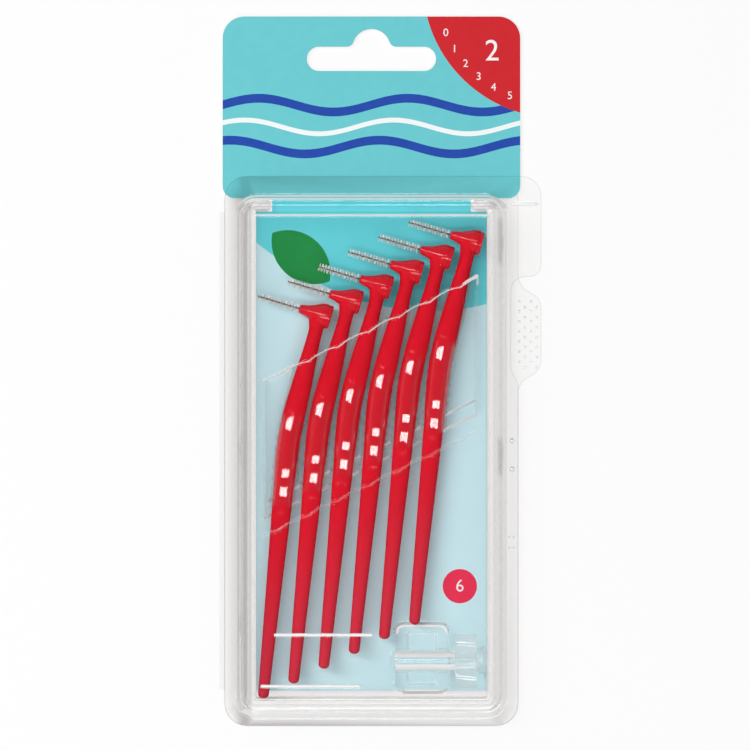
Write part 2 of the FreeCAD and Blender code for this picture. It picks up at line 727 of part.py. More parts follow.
failed = [item.Name for item in doc.Objects if {"Invalid", "Error"} & set(item.State)]
failed += [part.Label for part in parts if part.Shape.isNull() or not part.Shape.isValid()]
if failed:
    raise RuntimeError(f"These did not build: {failed}")

os.makedirs("parts", exist_ok=True)
for part in parts:
    part.Shape.exportStep(f"parts/{part.Label}.step")
    box = part.Shape.BoundBox
    print(f"{part.Label}: {len(part.Shape.Solids)} solids, {part.Shape.Volume:.2f} mm3, "
          f"{box.XLength:.2f} x {box.YLength:.2f} x {box.ZLength:.2f} mm")
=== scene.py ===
"""A set of angled interdental brushes in a clear hinged case, dressed for a photograph.

The frame is in metres. Lengths here are in millimetres about the centre of the case box, with heights from
the floor, and frame_point turns them into the frame's own metres.
"""
import math
import random

import bmesh
import bpy
from mathutils import Matrix, Vector


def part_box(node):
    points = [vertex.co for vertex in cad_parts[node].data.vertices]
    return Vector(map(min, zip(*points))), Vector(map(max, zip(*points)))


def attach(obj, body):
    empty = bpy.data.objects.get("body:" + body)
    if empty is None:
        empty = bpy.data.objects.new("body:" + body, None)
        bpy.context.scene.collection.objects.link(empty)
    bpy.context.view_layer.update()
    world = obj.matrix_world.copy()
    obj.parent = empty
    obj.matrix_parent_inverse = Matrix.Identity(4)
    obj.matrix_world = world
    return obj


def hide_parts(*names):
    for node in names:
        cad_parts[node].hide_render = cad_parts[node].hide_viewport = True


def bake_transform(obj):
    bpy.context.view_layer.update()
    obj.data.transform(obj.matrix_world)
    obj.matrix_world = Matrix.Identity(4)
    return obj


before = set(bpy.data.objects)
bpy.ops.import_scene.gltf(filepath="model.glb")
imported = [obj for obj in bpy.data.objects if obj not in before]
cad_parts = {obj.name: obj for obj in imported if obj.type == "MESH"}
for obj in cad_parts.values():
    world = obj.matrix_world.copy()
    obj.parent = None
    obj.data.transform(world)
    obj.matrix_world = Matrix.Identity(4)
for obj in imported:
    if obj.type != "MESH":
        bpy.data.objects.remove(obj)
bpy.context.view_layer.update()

MM = 0.001
BRUSHES = range(1, 7)


def box_mm(node):
    low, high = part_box(node)
    return low / MM, high / MM


# Places read from the frame
card_low, card_high = box_mm("insert_card")
tray_low, tray_high = box_mm("brush_tray")
cover_low, cover_high = box_mm("front_cover")
cap_low, cap_high = box_mm("protective_cap")
CASE_X = (card_low.x + card_high.x) / 2
CASE_Y = (tray_low.y + tray_high.y) / 2
CASE_SIDE = CASE_X - cover_low.x
CASE_BOTTOM = cover_low.y - CASE_Y
CASE_TOP = cover_high.y - CASE_Y
TAB_X = cover_high.x - CASE_X
CARD_TOP = card_high.z
CAP_Y = (cap_low.y + cap_high.y) / 2
CAP_Z = (cap_low.z + cap_high.z) / 2

# Sheet and case
SHEET = 0.4
SHOWN_SHEET = 0.35
CUT_EDGE = 0.22
CORNER_STEPS = 6
FLANGE_SIDE = 3.0
FLANGE_TOP = 4.0
FLANGE_CORNER = 5.6
TAB_CORNER = 4.0
PULL_TAB_LENGTH = 25.0
PULL_CORNER = 3.0
PULL_TOP_CORNER = 5.0
NOTCH_CORNER = 3.5
THUMB_TAB_START = 27.0
THUMB_TAB_LENGTH = 24.5
THUMB_TAB_SLANT = 3.5
THUMB_NOTCH = 1.8
THUMB_HIGH = CASE_TOP - THUMB_TAB_START
THUMB_LOW = THUMB_HIGH - THUMB_TAB_LENGTH

# Corners that the cover's flange and the back panel share
SHEET_FOOT = [(-CASE_SIDE, CASE_BOTTOM, FLANGE_CORNER), (CASE_SIDE, CASE_BOTTOM, FLANGE_CORNER),
              (CASE_SIDE, THUMB_LOW, TAB_CORNER)]

# Bars and crease of the cover: each bar is left, y and length
BAR_HEIGHT = 0.4
BAR_WIDTH = 0.7
BARS = [(-23.9, -44.1, 24.2), (-27.2, -56.7, 24.6)]
CREASE_X = CASE_SIDE - 1.6
CREASE_Y = 62.0
CREASE_LENGTH = TAB_X - CASE_SIDE + 0.6
CREASE_HEIGHT = 0.15

# Levels and walls of the cover
FLANGE_Z = cover_low.z + SHEET
FACE_Z = cover_high.z - BAR_HEIGHT
LEDGE_RISE = 5.5
LEDGE_Z = cover_low.z + LEDGE_RISE
WALL_X = CASE_SIDE - FLANGE_SIDE
WALL_Y = CASE_TOP - FLANGE_TOP
BOX_CORNER = 5.0
LEAST_CORNER = 0.8
LOWER_RUN = 0.77
LEDGE = 2.3
UPPER_RUN = 1.17
TOP_DROP = 0.9
TOP_LEAN = 0.8

# Snap bumps: side, middle and half length
SNAPS = [(1, 52.7, 5.0), (1, 0.2, 4.6), (-1, 1.0, 4.6), (-1, -42.4, 5.0)]
SNAP_DEPTH = 0.45

# Slanted pad over the grips
PITCH = Vector((7.47, 3.65))
PAD_SLOPE = PITCH.y / PITCH.x
PAD_LEFT = -27.0
PAD_RIGHT = 26.4
FLAT_MARGIN = 0.4
PAD_LOW = -7.8
PAD_HIGH = 31.6
PAD_REACH = 42.0
PAD_EDGE = 0.8
RECESS = 0.8
SCALLOP = 0.7

# Rim of the back shell
BACK_DROP = 0.02
BACK_Z = SHEET - BACK_DROP
RIM_Z = 4.4
RIM_WIDTH = 3.2
RIM_CORNER = 4.3
RIM_INNER_CORNER = 0.9
RIM_END_CORNER = 1.1
RIM_FOOT = 0.5
RIM_EDGE = 0.7
ROOM_X = 29.0
ROOM_Y = 60.53
NECK_GAP = 49.9

# Tray
TRAY_Z = tray_low.z + SHEET
TRAY_PAD_Z = tray_high.z
TRAY_PAD_LOW = -3.2
TRAY_CORNER = 0.5
TRAY_EDGE = 0.6
LOW_STEP = 0.45
SECOND_STEP = 3.6
CHANNEL_GAP = 0.3
CHANNEL_BLUR = 0.12

# Cradle for the cap: left, right, low, high
CRADLE = (5.73, 19.33, -58.9, -41.8)
CRADLE_CORNER = 2.5
CRADLE_BLUR = 0.3
BROW_WIDTH = 1.0
BROW_START = 0.6
BROW_END = 0.98

# Brush, from its tail end
TAIL = Vector((-26.695, -59.235))
AXIS_Z = 4.95
SHAFT_LENGTH = 64.3
SHAFT_LEAN = math.radians(5.6)
NECK_LENGTH = 30.8
NECK_LEAN = math.radians(14.5)
HEAD_TILT = math.radians(16.5)
GRIP_WIDTH = 5.7
HEAD_FRONT = 5.35
WIRE_REACH = 10.7
WIRE_WIDTH = 0.5
WIRE_LEAD = 1.0
BRISTLE_WIDTH = 2.3
BRISTLE_SPAN = 9.9
BRISTLE_LEAD = 1.5


def frame_point(x, y, z):
    return Vector((x + CASE_X, y + CASE_Y, z)) * MM


def case_place(point):
    return point / MM - Vector((CASE_X, CASE_Y, 0))


# Outlines and profiles
def arc(before, corner, after, radius, steps):
    """Points that round a corner, from the side of before to the side of after."""
    here = Vector(corner)
    back = (Vector(before) - here).normalized()
    ahead = (Vector(after) - here).normalized()
    half = back.angle(ahead) / 2
    centre = here + (back + ahead).normalized() * (radius / math.sin(half))
    start = here + back * (radius / math.tan(half)) - centre
    sweep = math.copysign(math.pi - 2 * half, ahead.x * back.y - ahead.y * back.x)
    return [centre + Matrix.Rotation(sweep * k / steps, 2) @ start for k in range(steps + 1)]


def rounded(corners, steps=CORNER_STEPS, cuts=(1,)):
    """A closed outline through (x, y, radius) corners; cuts divide its straight sides in turn."""
    count = len(corners)
    arcs = [arc(corners[k - 1][:2], corners[k][:2], corners[(k + 1) % count][:2], corners[k][2], steps)
            for k in range(count)]
    points = []
    for k, bend in enumerate(arcs):
        parts = cuts[k % len(cuts)]
        ahead = arcs[(k + 1) % count][0]
        points += bend + [bend[-1].lerp(ahead, part / parts) for part in range(1, parts)]
    return points


def box_corners(half_x, half_y, radius, x=0.0, y=0.0):
    return [(x - half_x, y - half_y, radius), (x + half_x, y - half_y, radius),
            (x + half_x, y + half_y, radius), (x - half_x, y + half_y, radius)]


def inset_corners(corners, inset):
    """The same outline moved inwards; its corners go anticlockwise."""
    count = len(corners)
    moved = []
    for k, (x, y, radius) in enumerate(corners):
        back = (Vector((x, y)) - Vector(corners[k - 1][:2])).normalized()
        ahead = (Vector(corners[(k + 1) % count][:2]) - Vector((x, y))).normalized()
        inwards = Vector((-back.y - ahead.y, back.x + ahead.x))
        inwards *= inset / (1 + back.dot(ahead))
        convex = back.x * ahead.y - back.y * ahead.x > 0
        moved.append((x + inwards.x, y + inwards.y, radius - inset if convex else radius + inset))
    return moved


def soft_profile(corners, longest):
    """An open profile through (inset, height, radius) corners, in pieces no longer than longest."""
    points = [Vector(corners[0][:2])]
    for before, corner, after in zip(corners, corners[1:], corners[2:]):
        points += arc(before[:2], corner[:2], after[:2], corner[2], CORNER_STEPS)
    points.append(Vector(corners[-1][:2]))
    divided = points[:1]
    for start, end in zip(points, points[1:]):
        parts = math.ceil((end - start).length / longest)
        divided += [start.lerp(end, part / parts) for part in range(1, parts + 1)]
    return divided


def smoothstep(low, high, value):
    share = min(max((value - low) / (high - low), 0.0), 1.0)
    return share * share * (3 - 2 * share)


def even_steps(low, high, step):
    count = math.ceil((high - low) / step)
    return [low + (high - low) * k / count for k in range(count + 1)]


def fine_ends(low, high, edge, fine, inner, coarse):
    """Steps that are fine near both ends, up to edge inside them, and coarse from inner inside them."""
    outside = 0.1
    steps = even_steps(low - outside, low + edge, fine) + even_steps(low + inner, high - inner, coarse)
    return steps + even_steps(high - edge, high + outside, fine)


# Formed sheets: the upper face is drawn first, then thickened downwards
def edges_of(bm, ring):
    return [bm.edges.get(pair) or bm.edges.new(pair) for pair in zip(ring, ring[1:] + ring[:1])]


def add_sheet(bm, corners, z):
    """The cut edge of a flat sheet, as a narrow band of its own; returns the band's inner edges."""
    outlines = [rounded(inset_corners(corners, inset)) for inset in (0.0, CUT_EDGE)]
    _, inner = add_loft(bm, [[(point.x, point.y, z) for point in outline] for outline in outlines])
    cut = bm.faces.layers.int.new("cut")
    for face in bm.faces:
        face[cut] = 1
    return inner


def join_rings(bm, rings):
    """Join closed rings of points by faces; returns the rings' vertices."""
    made = [[bm.verts.new(point) for point in ring] for ring in rings]
    for low, high in zip(made, made[1:]):
        for k in range(len(low)):
            bm.faces.new((low[k - 1], low[k], high[k], high[k - 1]))
    return made


def add_loft(bm, rings):
    """Join closed rings of (x, y, z) places; returns the edges of the first and the last ring."""
    made = join_rings(bm, [[frame_point(*place) for place in ring] for ring in rings])
    return edges_of(bm, made[0]), edges_of(bm, made[-1])


def add_grid(bm, xs, rises, slope, height):
    """A grid whose rows lie on y = rise + slope * x, with a flat margin; returns the edges round it."""
    xs = [xs[0] - FLAT_MARGIN] + xs + [xs[-1] + FLAT_MARGIN]
    rises = [rises[0] - FLAT_MARGIN] + rises + [rises[-1] + FLAT_MARGIN]
    rows = [[bm.verts.new(frame_point(x, rise + slope * x, height(x, rise + slope * x))) for x in xs]
            for rise in rises]
    for low, high in zip(rows, rows[1:]):
        for k in range(1, len(xs)):
            bm.faces.new((low[k - 1], low[k], high[k], high[k - 1]))
    rim = rows[0] + [row[-1] for row in rows[1:-1]] + rows[-1][::-1] + [row[0] for row in rows[-2:0:-1]]
    return edges_of(bm, rim)


def fill(bm, *loops):
    bmesh.ops.triangle_fill(bm, use_beauty=True, edges=[edge for loop in loops for edge in loop])


BOSS_MARGIN = 0.3
BOSS_LAND = 0.1
BOSS_DRAFT = 0.05
FOOT_ROUNDING = 0.9


def boss(bm, outline_at, low_z, high_z, foot, top):
    """A raised boss with soft edges; outline_at gives its outline at an inset. Returns its foot's edges."""
    profile = soft_profile([(-foot - BOSS_MARGIN, low_z, 0), (0, low_z, foot * FOOT_ROUNDING),
                            (BOSS_DRAFT, high_z, top), (top + BOSS_LAND, high_z, 0)], longest=1)
    rings = [[(point.x, point.y, z) for point in outline_at(inset)] for inset, z in profile]
    first, last = add_loft(bm, rings)
    fill(bm, last)
    return first


def in_scene(name, data):
    thing = bpy.data.objects.new(name, data)
    bpy.context.scene.collection.objects.link(thing)
    return thing


def new_piece(name, mesh, materials, body, slot, *nodes):
    """A visual piece that replaces the nodes and rides a body, or none yet."""
    piece = in_scene(name, mesh)
    if not mesh.materials:
        for material in materials:
            mesh.materials.append(material)
    if body:
        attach(piece, body)
    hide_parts(*nodes)
    return piece


def smooth_mesh(bm, name, angle=35):
    mesh = bpy.data.meshes.new(name)
    bm.to_mesh(mesh)
    bm.free()
    mesh.shade_smooth()
    mesh.set_sharp_from_angle(angle=math.radians(angle))
    return mesh


def closed_mesh(bm, name, angle=35):
    bmesh.ops.recalc_face_normals(bm, faces=bm.faces)
    return smooth_mesh(bm, name, angle)


# Kinds of face on a formed sheet, as places in its list of materials; the bright and soft kinds take painted
# highlights
FLAT, PAINTED_HIGHLIGHT, WALL, SOFT, CUT = range(5)
STEEP = 0.45
GENTLE = 0.93
SHARPEST = 0.6
SIDEWAYS = 1.2
NEAR = 1.0
END_REACH = 0.5
SHEET_ANGLE = 40


def sheet_kind(place, normal):
    """Painted highlights: bright ones on edges that run across the case and soft ones on edges along it."""
    slope = abs(normal.z)
    if slope > GENTLE:
        return FLAT
    if slope < STEEP:
        return WALL
    return PAINTED_HIGHLIGHT if abs(normal.y) > abs(normal.x) else SOFT


def cover_kind(place, normal):
    """As any sheet, but the bars and the crease get a bright painted highlight, and only the middle of the
    pad's edge gets one, brighter above than below.
    """
    in_crease = place.x > CREASE_X and abs(place.y - CREASE_Y) < BAR_WIDTH / 2
    if place.z > FACE_Z + BAR_HEIGHT / 4 or in_crease:
        return PAINTED_HIGHLIGHT
    ledge_back = WALL_Y - TOP_DROP - LOWER_RUN - LEDGE
    if ledge_back - NEAR < place.y < ledge_back + NEAR and place.z < LEDGE_Z + NEAR:
        return FLAT if abs(normal.z) > STEEP else WALL
    below = place.z < FACE_Z - RECESS - SHEET
    if below or abs(place.x) > PAD_RIGHT + NEAR or abs(place.y) > PAD_REACH:
        return sheet_kind(place, normal)
    if not 0 < normal.z < SHARPEST or abs(normal.x) > SIDEWAYS * abs(normal.y):
        return FLAT
    return PAINTED_HIGHLIGHT if normal.y * normal.z < 0 else SOFT


def tray_kind(place, normal):
    """The steps below the grips, the cradle's two ends and the brows along them get bright painted
    highlights.
    """
    slope = abs(normal.z)
    left, right, low, high = CRADLE
    brow = inside_box(place.x, place.y, *CRADLE, CRADLE_CORNER, BROW_WIDTH)
    at_high_end = place.y > high - CRADLE_CORNER
    at_low_end = place.y < low + CRADLE_CORNER and left < place.x - CRADLE_CORNER < right - 2 * CRADLE_CORNER
    if (at_high_end or at_low_end) and BROW_START < brow < BROW_END:
        return PAINTED_HIGHLIGHT
    if slope > GENTLE:
        return FLAT
    if abs(normal.y) < abs(normal.x):
        return WALL if slope < STEEP else SOFT
    if place.x > left - NEAR and place.y < high + NEAR:
        return PAINTED_HIGHLIGHT if min(high - place.y, place.y - low) < END_REACH else SOFT
    return PAINTED_HIGHLIGHT if normal.y * normal.z < 0 else SOFT


def evaluated_mesh(maker):
    """The mesh that an object comes to with its modifiers; the object itself is dropped."""
    bpy.context.view_layer.update()
    depsgraph = bpy.context.evaluated_depsgraph_get()
    mesh = bpy.data.meshes.new_from_object(maker.evaluated_get(depsgraph))
    bpy.data.objects.remove(maker)
    return mesh


def thickened(bm, name, kind):
    """The finished mesh of a formed sheet, with a material on each kind of face."""
    bmesh.ops.recalc_face_normals(bm, faces=bm.faces)
    if sum(face.normal.z * face.calc_area() for face in bm.faces) < 0:
        bmesh.ops.reverse_faces(bm, faces=bm.faces)
    upper = in_scene(name, smooth_mesh(bm, name))
    solidify = upper.modifiers.new("thickness", "SOLIDIFY")
    solidify.thickness = SHOWN_SHEET * MM
    solidify.offset = -1
    solidify.use_even_offset = False
    mesh = evaluated_mesh(upper)
    mesh.set_sharp_from_angle(angle=math.radians(SHEET_ANGLE))
    cut = mesh.attributes["cut"]
    # The side attribute holds painted shade for the side walls, snap bumps, rim ends and grip dots
    side = mesh.attributes.new("side", "FLOAT", "POINT")
    for vertex in mesh.vertices:
        side.data[vertex.index].value = side_share(case_place(vertex.co))
    for face in mesh.polygons:
        on_cut = cut.data[face.index].value
        face.material_index = CUT if on_cut else kind(case_place(face.center), face.normal)
    return mesh


# How much painted shade greys the side walls and other parts, more on the left wall than the right, and where
# it begins
LEFT_PAINTED_SHADE = 0.9
RIGHT_PAINTED_SHADE = 0.35
DOT_PAINTED_SHADE = 0.35
FACE_BLUR = 0.2
WALL_BLUR = 0.3
SNAP_NEAR = 1.0
SNAP_FAR = 2.2
RIM_MARGIN = 0.1
POST_MARGIN = 0.5
DOT_MARGIN = 0.02


def side_share(point):
    """How much painted shade greys a point: side walls, snap bumps, rim ends and grip dots."""
    x, y, z = point
    face_side = WALL_X - LOWER_RUN - LEDGE - UPPER_RUN
    wall = smoothstep(face_side - FACE_BLUR, face_side + UPPER_RUN, abs(x))
    wall *= 1 - smoothstep(WALL_X - WALL_BLUR, WALL_X + WALL_BLUR, abs(x))
    wall *= LEFT_PAINTED_SHADE if x < 0 else RIGHT_PAINTED_SHADE
    for side, middle, half in SNAPS:
        if SNAP_NEAR < WALL_X - side * x < SNAP_FAR and abs(y - middle) < half:
            wall = 1.0
    on_rim = BACK_Z + RIM_MARGIN < z < RIM_Z + RIM_MARGIN and ROOM_Y < y < ROOM_Y + RIM_WIDTH - TOP_DROP
    if on_rim and NECK_GAP / 2 - POST_MARGIN < abs(x) < WALL_X:
        wall = 1.0
    if x > CASE_SIDE and BACK_Z + DOT_MARGIN < z < FLANGE_Z - SHEET:
        wall = DOT_PAINTED_SHADE
    return wall


# Front cover
def snapped(x, y, z):
    """Push a point of the lower side wall in where a snap bump is formed."""
    level = math.sin(math.pi * smoothstep(FLANGE_Z, LEDGE_Z, z)) ** 2
    for side, middle, half in SNAPS:
        if side * x > 0 and abs(y - middle) < half:
            x -= side * SNAP_DEPTH * level * math.cos(math.pi / 2 * (y - middle) / half) ** 2
    return x, y, z


def cover_pad_height(x, y):
    """The recess over the grips: flat, with soft edges that scallop round each handle."""
    rise = y - PAD_SLOPE * x
    share = ((x - TAIL.x) / PITCH.x - 0.5) % 1
    scallop = SCALLOP * (1 - (2 * share - 1) ** 2)
    inside = smoothstep(PAD_LOW, PAD_LOW + PAD_EDGE, rise - scallop)
    inside *= 1 - smoothstep(PAD_HIGH - PAD_EDGE, PAD_HIGH, rise - scallop + SCALLOP)
    inside *= smoothstep(0.0, PAD_EDGE, min(x - PAD_LEFT, PAD_RIGHT - x))
    return FACE_Z - RECESS * inside


BAR_ROUNDING = 0.9
BAR_FOOT = 0.1
BAR_EDGE = 0.2


def bar(bm, left, y, length, z, height):
    """A straight raised bar with round ends."""
    def outline(inset):
        half_width = BAR_WIDTH / 2 - inset
        corner = BAR_ROUNDING * half_width
        return rounded(box_corners(length / 2 - inset, half_width, corner, left + length / 2, y))
    return boss(bm, outline, z, z + height, BAR_FOOT, min(BAR_EDGE, height))


FOOT_LAND = 0.8
FOOT_DRAFT = 0.05
FACE_LAND = 1.0
FOOT_SOFTNESS = 0.6
EDGE_SOFTNESS = 0.7
WALL_PIECE = 0.9
WALL_CUTS = (16, 64)


def make_cover(materials):
    bm = bmesh.new()
    notch_x = CASE_SIDE - THUMB_NOTCH
    flange = add_sheet(bm, SHEET_FOOT + [
        (notch_x, THUMB_LOW + THUMB_TAB_SLANT, TAB_CORNER),
        (notch_x, CASE_TOP - PULL_TAB_LENGTH, NOTCH_CORNER),
        (TAB_X, CASE_TOP - PULL_TAB_LENGTH, PULL_CORNER), (TAB_X, CASE_TOP, PULL_TOP_CORNER),
        (-CASE_SIDE, CASE_TOP, FLANGE_CORNER)], FLANGE_Z)
    face_inset = LOWER_RUN + LEDGE + UPPER_RUN
    profile = soft_profile([
        (-FOOT_LAND, FLANGE_Z, 0), (FOOT_DRAFT, FLANGE_Z, FOOT_SOFTNESS), (LOWER_RUN, LEDGE_Z, EDGE_SOFTNESS),
        (LOWER_RUN + LEDGE, LEDGE_Z, FOOT_SOFTNESS), (face_inset, FACE_Z, EDGE_SOFTNESS),
        (face_inset + FACE_LAND, FACE_Z, 0)], WALL_PIECE)
    rings = []
    for inset, z in profile:
        corner = max(BOX_CORNER - inset, LEAST_CORNER)
        up_share = min(max((inset - LOWER_RUN - LEDGE) / UPPER_RUN, 0.0), 1.0)
        drop = (TOP_DROP + TOP_LEAN * up_share) / 2
        ring = rounded(box_corners(WALL_X - inset, WALL_Y - inset - drop, corner, 0, -drop), cuts=WALL_CUTS)
        rings.append([snapped(point.x, point.y, z) for point in ring])
    foot, brow = add_loft(bm, rings)
    fill(bm, flange, foot, bar(bm, CREASE_X, CREASE_Y, CREASE_LENGTH, FLANGE_Z, CREASE_HEIGHT))
    xs = fine_ends(PAD_LEFT, PAD_RIGHT, edge=0.9, fine=0.1, inner=1.3, coarse=0.4)
    rises = fine_ends(PAD_LOW, PAD_HIGH, edge=1.7, fine=0.12, inner=2.5, coarse=2.0)
    pad = add_grid(bm, xs, rises, PAD_SLOPE, cover_pad_height)
    bars = [bar(bm, left, y, length, FACE_Z, BAR_HEIGHT) for left, y, length in BARS]
    fill(bm, brow, pad, *bars)
    mesh = thickened(bm, "formed_cover", cover_kind)
    new_piece("formed_cover", mesh, materials, "cover", "clear_sheet", "front_cover")


# Back shell
DOT_PITCH = 1.45
DOT_RADIUS = 0.45
DOT_HEIGHT = 0.25
DOT_COLUMNS = 4
DOT_STEP = 2.05
DOT_INSET = 0.8
DOTS_LOW = 0.4
DOTS_HIGH = 1.4
DOME_LEVELS = (0.0, 0.35, 0.7, 0.92)

# Pips on the right edge: x, y and radius
EDGE_PIPS = [(34.9, 3.3, 0.7), (34.9, -3.7, 0.7), (34.2, -20.5, 0.3), (35.3, -20.5, 0.3), (34.2, -23.2, 0.3),
             (35.3, -23.2, 0.3)]


def rim_outline(inset):
    """The raised rim: a U with short returns that leave a gap for the card's neck."""
    outer_x, outer_y = ROOM_X + RIM_WIDTH - inset, ROOM_Y + RIM_WIDTH - inset
    inner_x, inner_y = ROOM_X + inset, ROOM_Y + inset
    gap_x = NECK_GAP / 2 + inset
    top_y = outer_y - TOP_DROP
    outer, inner, end = RIM_CORNER - inset, RIM_INNER_CORNER + inset, RIM_END_CORNER - inset
    right = [(outer_x, -outer_y, outer), (outer_x, top_y, outer), (gap_x, top_y, end),
             (gap_x, inner_y, end), (inner_x, inner_y, inner), (inner_x, -inner_y, inner)]
    left = [(-x, y, radius) for x, y, radius in reversed(right)]
    return rounded(right + left)


def circle(x, y, radius, steps=12):
    return [Vector((x + radius * math.cos(math.tau * k / steps), y + radius * math.sin(math.tau * k / steps)))
            for k in range(steps)]


def dome(bm, x, y, z, radius, height):
    """A small round bump; returns its foot's edges."""
    rings = []
    for share in DOME_LEVELS:
        level = z + height * math.sin(share * math.pi / 2)
        ring = circle(x, y, radius * math.cos(share * math.pi / 2))
        rings.append([(point.x, point.y, level) for point in ring])
    first, last = add_loft(bm, rings)
    fill(bm, last)
    return first


def make_back(materials):
    bm = bmesh.new()
    panel = add_sheet(bm, SHEET_FOOT + [
        (TAB_X, THUMB_LOW + THUMB_TAB_SLANT, TAB_CORNER), (TAB_X, THUMB_HIGH - THUMB_TAB_SLANT, TAB_CORNER),
        (CASE_SIDE, THUMB_HIGH, TAB_CORNER),
        (CASE_SIDE, CASE_TOP, FLANGE_CORNER), (-CASE_SIDE, CASE_TOP, FLANGE_CORNER)], BACK_Z)
    rim = boss(bm, rim_outline, BACK_Z, RIM_Z, RIM_FOOT, RIM_EDGE)
    bumps = []
    for column in range(DOT_COLUMNS):
        stagger = column % 2
        x = TAB_X - (column + DOT_INSET) * DOT_PITCH
        low = THUMB_LOW + THUMB_TAB_SLANT + (DOTS_LOW + stagger) * DOT_PITCH
        high = THUMB_HIGH - THUMB_TAB_SLANT - (DOTS_HIGH - stagger) * DOT_PITCH
        for y in even_steps(low, high, DOT_STEP * DOT_PITCH):
            bumps.append(dome(bm, x, y, BACK_Z, DOT_RADIUS, DOT_HEIGHT))
    for x, y, radius in EDGE_PIPS:
        bumps.append(dome(bm, x, y, BACK_Z, radius, radius / 2))
    fill(bm, panel, rim, *bumps)
    mesh = thickened(bm, "formed_back", sheet_kind)
    new_piece("formed_back", mesh, materials, "case_back", "clear_sheet", "back_shell")


# Tray
HOLLOW_SIDE = 3.2
HOLLOW_LOW = 2.0
HOLLOW_HIGH = 2.2
HOLLOW_CORNER = 0.8
HOLLOW_DEPTH = 0.5
STOP_LENGTH = 1.6
STOP_WIDTH = 6.6
STOP_CORNER = 0.6
FINE_BLUR = 0.25
CAP_RADIUS = 2.7

# Rows of the tray's grid: start, end and step, from its low edge and then from its high edge
LOW_ROWS = [(-0.1, 0.7, 0.1), (1.6, 2.7, 0.9), (3.5, 4.3, 0.1)]
ROWS_START = 5.2
ROWS_END = 1.6
ROW_STEP = 0.9
HIGH_ROWS = (0.7, 0.1, 0.1)

# Grid over the cradle
CRADLE_MARGIN = 0.5
CRADLE_FOOT = 0.1
CRADLE_STEP = 0.25
CRADLE_ROW = 0.22
TRAY_MARGIN = 0.8


def heading(lean):
    return Vector((math.sin(lean), math.cos(lean)))


def handle_spines():
    """Each handle's axis in plan as (tail, knee, head) points."""
    shaft = heading(SHAFT_LEAN) * SHAFT_LENGTH
    neck = heading(NECK_LEAN) * NECK_LENGTH
    tails = [TAIL + PITCH * (k - 1) for k in BRUSHES]
    return [(tail, tail + shaft, tail + shaft + neck) for tail in tails]


SPINES = handle_spines()


def distance_to_run(point, start, end):
    run = end - start
    share = min(max((point - start).dot(run) / run.length_squared, 0.0), 1.0)
    return (point - start - run * share).length


def soft_least(first, second, blur):
    share = min(max(0.5 + (second - first) / (2 * blur), 0.0), 1.0)
    return first * share + second * (1 - share) - blur * share * (1 - share)


def channel_floor(distance, radius, axis_z):
    return axis_z - math.sqrt(max(radius * radius - distance * distance, 0.0))


def tray_pad_height(x, y):
    """Ridges between the grips, which lie in round channels."""
    point = Vector((x, y))
    radius = GRIP_WIDTH / 2 + CHANNEL_GAP
    top = TRAY_PAD_Z
    for tail, knee, head in SPINES:
        distance = min(distance_to_run(point, tail, knee), distance_to_run(point, knee, head))
        if distance < radius:
            top = soft_least(top, channel_floor(distance, radius, AXIS_Z), CHANNEL_BLUR)
    rise = y - PAD_SLOPE * x
    second = TRAY_PAD_LOW + SECOND_STEP
    step = LOW_STEP * smoothstep(TRAY_PAD_LOW, TRAY_PAD_LOW + TRAY_EDGE, rise)
    step += (1 - LOW_STEP) * smoothstep(second, second + TRAY_EDGE, rise)
    step *= 1 - smoothstep(PAD_HIGH - TRAY_EDGE, PAD_HIGH, rise)
    step *= smoothstep(0.0, TRAY_EDGE, min(x - PAD_LEFT, PAD_RIGHT - x))
    return TRAY_Z + (top - TRAY_Z) * step


def inside_box(x, y, left, right, low, high, corner, blur):
    """1 inside a rounded box, 0 outside it, with a soft edge."""
    reach_x = max(abs(x - (left + right) / 2) - (right - left) / 2 + corner, 0.0)
    reach_y = max(abs(y - (low + high) / 2) - (high - low) / 2 + corner, 0.0)
    return 1 - smoothstep(-blur, blur, math.hypot(reach_x, reach_y) - corner)


def cradle_height(x, y):
    """The block that carries the cap, and the stop at its mouth."""
    cap_y = CAP_Y - CASE_Y
    stop = cap_high.x - CASE_X + CHANNEL_GAP
    left, right, low, high = CRADLE
    hollow = inside_box(x, y, left + HOLLOW_SIDE, right - HOLLOW_SIDE, low + HOLLOW_LOW, high - HOLLOW_HIGH,
                        HOLLOW_CORNER, FINE_BLUR)
    top = TRAY_PAD_Z - HOLLOW_DEPTH * hollow
    distance = abs(y - cap_y)
    if distance < CAP_RADIUS + CHANNEL_GAP:
        top = soft_least(top, channel_floor(distance, CAP_RADIUS + CHANNEL_GAP, CAP_Z), CHANNEL_BLUR)
    stop_box = (stop, stop + STOP_LENGTH, cap_y - STOP_WIDTH / 2, cap_y + STOP_WIDTH / 2)
    block = max(inside_box(x, y, *CRADLE, CRADLE_CORNER, CRADLE_BLUR),
                inside_box(x, y, *stop_box, STOP_CORNER, FINE_BLUR))
    return TRAY_Z + (top - TRAY_Z) * block


